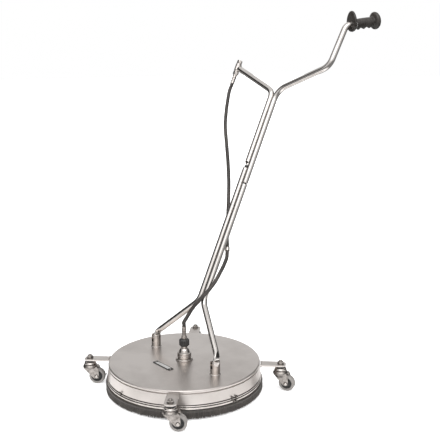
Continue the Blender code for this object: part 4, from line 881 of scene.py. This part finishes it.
for side, x, way in (("left", post_x[0], -1), ("right", post_x[1], 1)):
    spot = np.array([x, DECK[1], 0.0])
    shells = [moved(solid_turned(post, [0.0004, 0.0004, 0.0004, 0.0004], 96), spot)]
    for cheek in (-1, 1):
        cut = plate(cheek_outline, SLOT_FOOT - 0.002, socket_top, 0.0013, 4)
        shells.append(moved(cut, spot, across=(cheek, 0, 0)))
    fillet = turned(rounded(foot_weld, 0.0006, 3, looped=True), 96)
    wave = 1.0 + 0.010 * np.sin(np.arange(96) * 2 * math.pi * 24 / 96)
    fillet = fillet * np.stack([wave, wave, np.ones(96)], -1)[None]
    shells.append(moved((fillet, True), spot))
    piece(f"post_{side}", BRIGHT, shells, "deck", f"handle_socket_{side}")
    axis = np.array([way, 0.0, 0.0])
    pin = np.array([x, DECK[1], PIVOT])
    washer = solid_turned([(0.0004, 0.0178), (0.0102, 0.0178), (0.0102, 0.0165), (0.0004, 0.0165)], 0.0003, 40)
    shells = [
        moved(hexagon(0.0088, -0.0233, -0.0178, 0.0010), pin, axis),
        moved(hexagon(0.0088, 0.0179, 0.0248, 0.0012), pin, axis),
        moved(threaded(0.0050, -0.0200, 0.0268), pin, axis),
    ]
    piece(f"pivot_bolt_set_{side}", ZINC, shells, "deck", f"pivot_bolt_{side}")
    # The pivot washers are dark to paint shade round the bolt heads.
    shells = [moved(washer, pin, axis), moved(washer, pin, -axis)]
    piece(f"pivot_shade_washers_{side}", DARK_STEEL_AND_SHADE, shells, "deck")

# ------------------------------------------------------------------ handle legs
# Two polished stainless tubes, 21 mm across. Each is pressed flat at its foot into a rounded
# tongue, bends inwards, and runs up beside the other.
TUBE, tree, shader = material("polished_tube", (0.74, 0.70, 0.675), 0.17, 1.0)
own = node(tree, "TexCoord").outputs["Object"]
lengths = node(tree, "UVMap", uv_map="lengths").outputs[0]
patches, scratches = marked(tree, own, 16.0, 120.0)
tree.links.new(blend_colour(tree, patches, (0.78, 0.742, 0.712), (0.66, 0.622, 0.594)), shader.inputs["Base Color"])
worn = node(tree, "Math", {0: tone(tree, patches, 0.14, 0.22), 1: tone(tree, scratches, 0.0, 0.10)}, operation="ADD")
tree.links.new(worn.outputs[0], shader.inputs["Roughness"])
drawn = node(tree, "Mapping", {0: lengths, "Scale": (14.0, 1800.0, 1.0)})
draw_lines = node(tree, "TexNoise", {"Vector": drawn.outputs[0], "Scale": 1.0, "Detail": 2.0})
bump(tree, shader, draw_lines.outputs[0], 0.00001, 0.2)

TUBE_RADIUS, TUBE_WALL, TUBE_OFFSET = 0.0105, 0.0018, 0.01065
TONGUE_THICK, TONGUE_WIDE = 0.0045, 0.0130
LEG_BEND = 0.1768


def resampled(path, spacing):
    """The same line with its points a like distance apart, as near as whole steps allow."""
    along = np.concatenate([[0.0], np.cumsum(np.linalg.norm(np.diff(path, axis=0), axis=1))])
    at = np.linspace(0.0, along[-1], max(2, round(along[-1] / spacing)) + 1)
    return np.stack([np.interp(at, along, path[:, k]) for k in range(path.shape[1])], -1), at


def oval(half_x, half_y, power, count=48):
    """A superellipse for each half width: |cos|^(2/power), |sin|^(2/power), with their signs."""
    angle = 2 * math.pi * (np.arange(count) + 0.5) / count
    cos, sin = np.cos(angle), np.sin(angle)
    x = np.sign(cos) * np.abs(cos) ** (2 / power)
    y = np.sign(sin) * np.abs(sin) ** (2 / power)
    return np.stack([half_x * x, half_y * y], -1)


def leg_skin(way, top):
    """From the tongue's round nose up its outside to the open top, over the lip and down the bore."""
    spread = SPREAD - TUBE_OFFSET
    line = rounded(
        [(way * SPREAD, 0, 0), (way * SPREAD, 0, LEG_BEND - spread), (way * TUBE_OFFSET, 0, LEG_BEND), (way * TUBE_OFFSET, 0, top)],
        [0.0, 0.016, 0.050, 0.0], 14,
    )
    line, at = resampled(line, 0.0035)
    share = np.clip((at - 0.020) / 0.024, 0.0, 1.0)
    share = (share * share * (3 - 2 * share))[:, None]
    sizes = (1 - share) * [TONGUE_THICK, TONGUE_WIDE] + share * TUBE_RADIUS
    nose = np.radians([5.0, 14.0, 26.0, 38.0, 50.0, 62.0, 76.0])[:, None]
    nose_line = np.hstack([np.full((7, 1), way * SPREAD), np.zeros((7, 1)), -TONGUE_WIDE * np.cos(nose)])
    nose_edge = np.minimum(1.0, 0.55 + 0.9 * np.sin(nose))
    nose_sizes = np.hstack([TONGUE_THICK * nose_edge, TONGUE_WIDE * np.sin(nose)])
    start = int(np.searchsorted(at, 0.060))
    lip = np.array([[0.0004, -0.0002], [0.0009, 0.0], [0.0014, -0.0003]])
    lip_line = np.column_stack([np.full(3, way * TUBE_OFFSET), np.zeros(3), top + lip[:, 1] - 0.0002])
    bore = line[start:-1][::-1]
    path = np.vstack([nose_line, line[:-1], lip_line, bore])
    both = np.vstack([nose_sizes, sizes[:-1], np.repeat(TUBE_RADIUS - lip[:, :1], 2, 1), np.full((len(bore), 2), TUBE_RADIUS - TUBE_WALL)])
    power = np.concatenate([np.full(7, 3.0), 3.0 - share[:-1, 0], np.full(3 + len(bore), 2.0)])[:, None]
    section = oval(both[:, :1], both[:, 1:], power)
    ahead = unit(np.gradient(np.vstack([nose_line, line]), axis=0))
    ahead = np.vstack([ahead[:-1], np.tile([0.0, 0.0, 1.0], (3, 1)), ahead[7 + start : -1][::-1]])
    across = unit(np.array([1.0, 0.0, 0.0]) - ahead[:, :1] * ahead)
    square = np.cross(ahead, across)
    grid = path[:, None] + section[..., :1] * across[:, None] + section[..., 1:] * square[:, None]
    return on_handle(grid)


LEFT_TOP, RIGHT_TOP = FOLD_ALONG + 0.0240, FOLD_ALONG - 0.0342
piece("leg_tube_left", TUBE, [leg_skin(-1, LEFT_TOP)], "lower_handle", "leg_left")
piece("leg_tube_right", TUBE, [leg_skin(1, RIGHT_TOP)], "lower_handle", "leg_right")

# ------------------------------------------------------------------ fold joint
# One plated bolt goes through the left leg and the right upper tube, which turns on it.
joint_spot = on_handle((0.0, 0.0, FOLD_ALONG))
reach = 2 * TUBE_RADIUS + 1.5 * GAP
washer = solid_turned([(0.0004, reach + 0.0013), (0.0096, reach + 0.0013), (0.0096, reach), (0.0004, reach)], 0.0003, 36)
shells = [
    moved(hexagon(0.0075, -reach - 0.0075, -reach - 0.0013, 0.0010), joint_spot, ACROSS),
    moved(hexagon(0.0080, reach + 0.0013, reach + 0.0075, 0.0011), joint_spot, ACROSS),
    moved(threaded(0.0040, -reach - 0.002, reach + 0.0092), joint_spot, ACROSS),
]
piece("fold_bolt_set", ZINC, shells, "lower_handle", "fold_bolt")
# The washers are dark to paint shade round the bolt heads.
shells = [moved(washer, joint_spot, ACROSS), moved(washer, joint_spot, -ACROSS)]
piece("fold_bolt_shade_washers", DARK_STEEL_AND_SHADE, shells, "lower_handle")

# ------------------------------------------------------------------ tube plugs
# A black moulded plug closes each open tube end at the joint. The left leg's stands up as a short
# spigot, which the upper tube's slanted foot drops over when the handle is straight.
def tube_plug(x, way, low, shoulder, tip):
    """A turned plug: up its wide part, in over the shoulder, and round to its blunt tip."""
    bore = TUBE_RADIUS - TUBE_WALL - GAP
    profile = [(0.0003, low), (bore, low), (bore, shoulder), (bore - 0.0016, shoulder + 0.0016), (bore - 0.0022, tip), (0.0003, tip)]
    return moved(solid_turned(profile, 0.0010, 48), on_handle((x, 0.0, 0.0)), UP_HANDLE * way, ACROSS)


spigot = tube_plug(-TUBE_OFFSET, 1, LEFT_TOP - 0.012, LEFT_TOP + 0.0010, LEFT_TOP + 0.0105)
cap = [(0.0003, RIGHT_TOP + 0.0003), (0.0103, RIGHT_TOP + 0.0003), (0.0100, RIGHT_TOP + 0.0017), (0.0003, RIGHT_TOP + 0.0017)]
cap = moved(solid_turned(cap, 0.0005, 48), on_handle((TUBE_OFFSET, 0.0, 0.0)), UP_HANDLE, ACROSS)
piece("leg_plugs", BLACK, [spigot, cap], "lower_handle")

# ------------------------------------------------------------------ upper tubes
# Both bend outwards from the top of the handle: the left one, cut on the slant, to the hose
# fitting, and the right one, with a domed foot, up and back to the grip.
LEFT_CORNER, RIGHT_CORNER, BRANCH_RISE = 0.961, 0.967, math.tan(math.radians(21.0))
FOOT_SLANT = 0.8


def open_tube(line, radius, wall, slant=0.0, spacing=0.0035):
    """A tube open at both ends, as one skin that turns over each lip. slant leans its first rows."""
    line, at = resampled(line, spacing)
    ahead = unit(np.gradient(line, axis=0))
    lip = np.array([0.0005, 0.0, 0.0, 0.0005])
    rows = [line[0] + ahead[0] * 0.0005, *line[1:-1], line[-1] - ahead[-1] * 0.0005]
    path = np.vstack([rows, [line[-1]], [line[-1]], [rows[-1]], line[1:-1][::-1], [rows[0]], [line[0]], [line[0]]])
    n = len(rows)
    inner = radius - wall
    size = np.concatenate([np.full(n, radius), [radius - lip[0], inner + lip[0]], np.full(n, inner), [inner + lip[0], radius - lip[0]]])
    way = np.vstack([ahead, [ahead[-1]] * 2, ahead[::-1], [ahead[0]] * 2])
    across = unit(ACROSS * 1.0 - (way @ np.array([1.0, 0.0, 0.0]))[:, None] * way)
    square = np.cross(way, across)
    section = ring(size[:, None], 48)
    grid = path[:, None] + section[..., :1] * across[:, None] + section[..., 1:] * square[:, None]
    if slant:
        low = np.linalg.norm(path - line[0], axis=1)
        grid -= (slant * np.clip(1 - low / 0.0140, 0.0, 1.0))[:, None, None] * section[..., 1:] * way[:, None]
    return on_handle(grid), True


corner = np.array([-TUBE_OFFSET, 0.0, LEFT_CORNER])
tip = np.array([INLET + 0.017, 0.0, INLET_ALONG - 0.017 * BRANCH_RISE])
foot = np.array([-TUBE_OFFSET, 0.0, FOLD_ALONG + 0.0415])
left_line = rounded([foot, corner, tip], [0.0, 0.035, 0.0], 16)
skin = open_tube(left_line, TUBE_RADIUS, TUBE_WALL, FOOT_SLANT)
piece("upper_left_tube", TUBE, [skin], "upper_handle", "upper_tube_left")

GRIP_REACH, GRIP_RISE, GRIP_BRANCH_RISE = 0.216, 0.150, math.tan(math.radians(24.7))
way = unit(np.array([0.27, 0.955, 0.13]))
GRIP_WAY = np.array([way[0], way @ BEHIND, way @ UP_HANDLE])
lower = np.array([GRIP_REACH, 0.0, RIGHT_CORNER + (GRIP_REACH - TUBE_OFFSET) * GRIP_BRANCH_RISE])
GRIP_CORNER = lower + [0.012, 0.0, GRIP_RISE]
FOOT_DOME = 0.0045
foot = np.array([TUBE_OFFSET, 0.0, FOLD_ALONG - 0.0322 + FOOT_DOME])
right_line = rounded(
    [foot, (TUBE_OFFSET, 0.0, RIGHT_CORNER), lower, GRIP_CORNER, GRIP_CORNER + GRIP_WAY * 0.117],
    [0.0, 0.060, 0.045, 0.030, 0.0], 16,
)
right_line, _ = resampled(right_line, 0.0035)
nose = np.radians([3.0, 12.0, 24.0, 38.0, 52.0, 66.0, 80.0])[:, None]
nose_line = foot - np.array([0.0, 0.0, FOOT_DOME]) * np.cos(nose)
line = np.vstack([nose_line, right_line])
size = np.concatenate([TUBE_RADIUS * np.sin(nose[:, 0]), np.full(len(right_line), TUBE_RADIUS)])
skin = on_handle(swept(line, ring(size[:, None], 48), np.array([0.0, 1.0, 0.0]) + 0.001))
piece("upper_right_tube", TUBE, [skin], "upper_handle", "upper_tube_right")

# ------------------------------------------------------------------ hand grip
# Moulded black rubber over the tube's end. An oval guard stands at the front, three finger
# ridges run underneath, and the rear end flares. A pale ring shows at the guard's foot.
RUBBER, tree, shader = material("grip_rubber", (0.03, 0.03, 0.03), 0.4)
own = node(tree, "TexCoord").outputs["Object"]
patches, scratches = marked(tree, own, 30.0, 150.0)
tree.links.new(blend_colour(tree, patches, (0.026, 0.0225, 0.0200), (0.056, 0.050, 0.046)), shader.inputs["Base Color"])
tree.links.new(tone(tree, patches, 0.26, 0.46), shader.inputs["Roughness"])
pebbles = node(tree, "TexVoronoi", {"Vector": own, "Scale": 900.0})
bump(tree, shader, pebbles.outputs["Distance"], 0.00018, 0.5)

GRIP_UP = np.array([0.0, BEHIND[2], UP_HANDLE[2]])
GRIP_UP = unit(GRIP_UP - (GRIP_UP @ GRIP_WAY) * GRIP_WAY)
GRIP_SIDE = np.cross(GRIP_WAY, GRIP_UP)
GRIP_START = GRIP_CORNER + GRIP_WAY * 0.018


def hand_form(rows, columns=72):
    """Rounds of the grip. A round is (along, half width, rise above, drop below, tilt): its
    height is the sine of the angle times the rise or the drop, and tilt leans its top back."""
    angle = 2 * math.pi * np.arange(columns) / columns
    along, wide, above, below, tilt = (np.asarray(rows, float)[:, k : k + 1] for k in range(5))
    sine = np.sin(angle)
    height = sine * np.where(sine > 0, above, below)
    grid = np.stack([along + tilt * height, wide * np.cos(angle), height], -1)
    return on_handle(GRIP_START + grid @ np.stack([GRIP_WAY, GRIP_SIDE, GRIP_UP]))


def barrel(along):
    """Half width, rise and drop of the hand part. Each finger ridge climbs slowly and falls fast:
    its share s of the pitch gives s^2 up to the crest, and a cosine down from it."""
    from_foot = (along - 0.0135) / 0.0225
    s = from_foot % 1.0
    crest = np.where(s < 0.62, (s / 0.62) ** 2, 0.5 + 0.5 * np.cos(math.pi * (s - 0.62) / 0.38))
    inside = np.clip(from_foot * 4, 0, 1) * np.clip((3.15 - from_foot) * 4, 0, 1)
    swell = 0.0008 * np.sin(math.pi * np.clip(from_foot / 3.15, 0, 1))
    return 0.0160 + swell, 0.0154 + swell, 0.0158 + 0.0052 * crest * inside


guard = [
    (0.0000, 0.0118, 0.0118, 0.0118, 0.0), (0.0000, 0.0240, 0.0385, 0.0205, 0.06), (0.0008, 0.0268, 0.0418, 0.0228, 0.06),
    (0.0024, 0.0286, 0.0436, 0.0246, 0.06), (0.0046, 0.0290, 0.0440, 0.0250, 0.06), (0.0068, 0.0286, 0.0436, 0.0246, 0.06),
    (0.0086, 0.0264, 0.0412, 0.0226, 0.06), (0.0098, 0.0226, 0.0330, 0.0204, 0.05), (0.0110, 0.0196, 0.0230, 0.0190, 0.02),
    (0.0124, 0.0180, 0.0180, 0.0180, 0.0),
]
hand = []
for along in np.arange(0.0140, 0.0862, 0.0009):
    wide, above, below = barrel(along)
    hand.append((along, wide, above, below, 0.0))
flare = [
    (0.0872, 0.0166, 0.0166, 0.0162, 0.0), (0.0886, 0.0186, 0.0190, 0.0184, 0.0), (0.0902, 0.0228, 0.0240, 0.0226, 0.0),
    (0.0920, 0.0258, 0.0282, 0.0256, 0.0), (0.0942, 0.0275, 0.0302, 0.0274, 0.0), (0.0970, 0.0280, 0.0309, 0.0280, 0.0),
    (0.1000, 0.0278, 0.0304, 0.0278, 0.0), (0.1032, 0.0266, 0.0290, 0.0266, 0.0), (0.1058, 0.0246, 0.0266, 0.0246, 0.0),
    (0.1080, 0.0218, 0.0236, 0.0218, 0.0), (0.1096, 0.0184, 0.0196, 0.0184, 0.0), (0.1106, 0.0150, 0.0156, 0.0150, 0.0),
    (0.1110, 0.0130, 0.0130, 0.0130, 0.0),
]
piece("hand_grip", RUBBER, [hand_form(guard + hand + flare)], "upper_handle", "grip", 50.0)
seam = [
    (0.0116, 0.0188, 0.0193, 0.0190, 0.0), (0.0120, 0.0198, 0.0202, 0.0199, 0.0), (0.0130, 0.0201, 0.0205, 0.0202, 0.0),
    (0.0140, 0.0198, 0.0202, 0.0199, 0.0), (0.0144, 0.0150, 0.0150, 0.0150, 0.0),
]
PALE, tree, shader = material("pale_moulding", (0.50, 0.50, 0.49), 0.35)
own = node(tree, "TexCoord").outputs["Object"]
patches, scratches = marked(tree, own, 50.0, 200.0)
tree.links.new(blend_colour(tree, patches, (0.56, 0.555, 0.545), (0.42, 0.415, 0.405)), shader.inputs["Base Color"])
tree.links.new(tone(tree, scratches, 0.30, 0.55), shader.inputs["Roughness"])
piece("grip_seam_ring", PALE, [hand_form(seam)], "upper_handle")
cap = [(0.0, 0.0125), (0.0008, 0.0125), (0.0022, 0.0121), (0.0030, 0.0108), (0.0034, 0.0090), (0.0035, 0.0004)]
rows = [(0.1113 + along, radius, radius, radius, 0.0) for along, radius in cap]
piece("grip_end_cap", BLACK, [hand_form(rows)], "upper_handle", "grip_plug")

# ------------------------------------------------------------------ water inlet and upper ferrule
# The left branch is welded to a turned block. A hexagon with the inlet's bore stands on its top,
# and the hose's swivel nut and crimped ferrule hang below it.
inlet_x = INLET
below_block, above_block = INLET_ALONG - 0.013, INLET_ALONG + 0.014
NUT_FOOT = FERRULE_FOOT + 0.036
block = [
    (0.0004, above_block), (0.0100, above_block), (0.0110, above_block - 0.0012), (0.0110, INLET_ALONG + 0.0045),
    (0.0102, INLET_ALONG + 0.0038), (0.0102, INLET_ALONG + 0.0028), (0.0110, INLET_ALONG + 0.0021),
    (0.0110, below_block + 0.0012), (0.0100, below_block), (0.0004, below_block),
]


def on_fitting(shell):
    return moved(shell, on_handle((inlet_x, 0.0, 0.0)), UP_HANDLE)


mouth = [(0.0082, above_block + 0.0010), (0.0082, above_block - 0.001), (0.0050, above_block - 0.001), (0.0050, above_block + 0.0010)]
weld = ring(0.0106 + 0.0004 * np.sin(np.arange(48) * 2 * math.pi * 14 / 48), 48)
branch_way = unit(np.array([-1.0, 0.0, BRANCH_RISE]))
start = np.array([inlet_x + 0.0118, 0.0, INLET_ALONG - 0.0118 * BRANCH_RISE])
weld_line = np.stack([start - branch_way * s for s in (-0.0022, -0.0012, 0.0, 0.0012, 0.0020)])
weld_size = np.array([0.92, 1.08, 1.14, 1.08, 0.98])[:, None, None]
weld_skin = on_handle(swept(weld_line, weld[None] * weld_size, np.array([0.0, 1.0, 0.0])))
shells = [
    on_fitting(solid_turned(block, 0.0004, 72)), on_fitting(hexagon(0.0100, above_block + 0.0010, above_block + 0.0140, 0.0010, 0.0050)),
    on_fitting(spun(mouth, 0.0003, 48)), weld_skin,
]
piece("inlet_block", BRIGHT, shells, "upper_handle", "inlet_fitting")
neck = [(0.0004, below_block - GAP), (0.0085, below_block - GAP), (0.0085, NUT_FOOT), (0.0078, NUT_FOOT - 0.0010), (0.0004, NUT_FOOT - 0.0010)]
shells = [
    on_fitting(solid_turned(neck, 0.0003, 56)), on_fitting(hexagon(0.0105, NUT_FOOT, below_block - 0.0020, 0.0012)),
    on_fitting(crimped(NUT_FOOT - 0.0008, FERRULE_FOOT, 0.0078)),
]
piece("upper_ferrule", BRIGHT, shells, "upper_handle", "hose_ferrule_upper")

# ------------------------------------------------------------------ hose clip
# A bent steel ring with rolled edges, on a short foot spot-welded behind the right leg.
clip_inner, clip_outer = HOSE_RADIUS + 0.0006, HOSE_RADIUS + 0.0026
band = [
    (clip_inner + 0.0002, 0.0060), (clip_outer, 0.0060), (clip_outer, 0.0046), (clip_outer - 0.0006, 0.0036),
    (clip_outer - 0.0006, -0.0036), (clip_outer, -0.0046), (clip_outer, -0.0060), (clip_inner + 0.0002, -0.0060),
    (clip_inner, -0.0044), (clip_inner, 0.0044),
]
foot_size = rounded([(-0.0042, 0.0), (0.0042, 0.0), (0.0042, 0.0078), (-0.0042, 0.0078)], 0.0008, 3, looped=True)
foot_spot = on_handle((TUBE_OFFSET, TUBE_RADIUS - 0.0004, 0.376))
foot = plate(foot_size, -0.0058, 0.0058, 0.0007)
foot = foot_spot + foot[..., :1] * ACROSS + foot[..., 1:2] * BEHIND + foot[..., 2:] * UP_HANDLE
shells = [moved(spun(band, 0.0004, 64), CLIP, CLIP_WAY), foot]
piece("hose_ring_clip", BRIGHT, shells, "lower_handle", "hose_clip")

# ------------------------------------------------------------------ spray rotor
# Under the pan, a steel hub on the union's shaft carries two tube arms, each with a brass fan
# nozzle that points down at its tip.
ROTOR_HEIGHT = JOINTS["rotor_spin"]["pos_m"][2]
spindle = [
    (0.0004, 0.1310), (0.0088, 0.1310), (0.0097, 0.1300), (0.0097, ROTOR_HEIGHT + 0.0125), (0.0120, ROTOR_HEIGHT + 0.0102),
    (0.0205, ROTOR_HEIGHT + 0.0098), (0.0219, ROTOR_HEIGHT + 0.0082), (0.0219, ROTOR_HEIGHT - 0.0082),
    (0.0205, ROTOR_HEIGHT - 0.0098), (0.0060, ROTOR_HEIGHT - 0.0098), (0.0052, ROTOR_HEIGHT - 0.0080), (0.0004, ROTOR_HEIGHT - 0.0080),
]
piece("rotor_spindle", BRIGHT, [moved(solid_turned(spindle, 0.0008, 80), DECK)], "rotor", "rotor_hub")
BRASS, tree, shader = material("turned_brass", (0.62, 0.44, 0.18), 0.25, 1.0)
own = node(tree, "TexCoord").outputs["Object"]
patches, scratches = marked(tree, own, 80.0, 260.0)
tree.links.new(blend_colour(tree, patches, (0.66, 0.47, 0.19), (0.42, 0.27, 0.10)), shader.inputs["Base Color"])
tree.links.new(tone(tree, patches, 0.18, 0.40), shader.inputs["Roughness"])
bump(tree, shader, scratches, 0.00005, 0.3)
spray_arm = [
    (0.0004, 0.0223), (0.0082, 0.0223), (0.0082, 0.0290), (0.0070, 0.0300), (0.0070, 0.2140), (0.0078, 0.2148),
    (0.0078, 0.2300), (0.0066, 0.2320), (0.0004, 0.2320),
]
tip_low, tip_high = (corner.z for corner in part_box("nozzle_left"))
nozzle = [
    (0.0004, tip_high), (0.0060, tip_high), (0.0064, tip_high - 0.0006), (0.0064, tip_high - 0.0035),
    (0.0050, tip_high - 0.0042), (0.0050, tip_low + 0.0030), (0.0034, tip_low), (0.0012, tip_low),
    (0.0009, tip_low + 0.0014), (0.0004, tip_low + 0.0014),
]
for side, way in (("left", -1.0), ("right", 1.0)):
    hub_end = DECK + np.array([0.0, 0.0, ROTOR_HEIGHT])
    arm_skin = moved(solid_turned(spray_arm, 0.0006, 40), hub_end, (way, 0, 0), (0, 0, 1))
    piece(f"rotor_arm_{side}", BRIGHT, [arm_skin], "rotor", f"spray_arm_{side}")
    tip = DECK + np.array([way * 0.222, 0.0, 0.0])
    shells = [moved(solid_turned(nozzle, 0.0003, 36), tip), moved(hexagon(0.0064, tip_high - 0.0090, tip_high - 0.0048, 0.0006), tip)]
    piece(f"fan_nozzle_{side}", BRASS, shells, "rotor", f"nozzle_{side}")
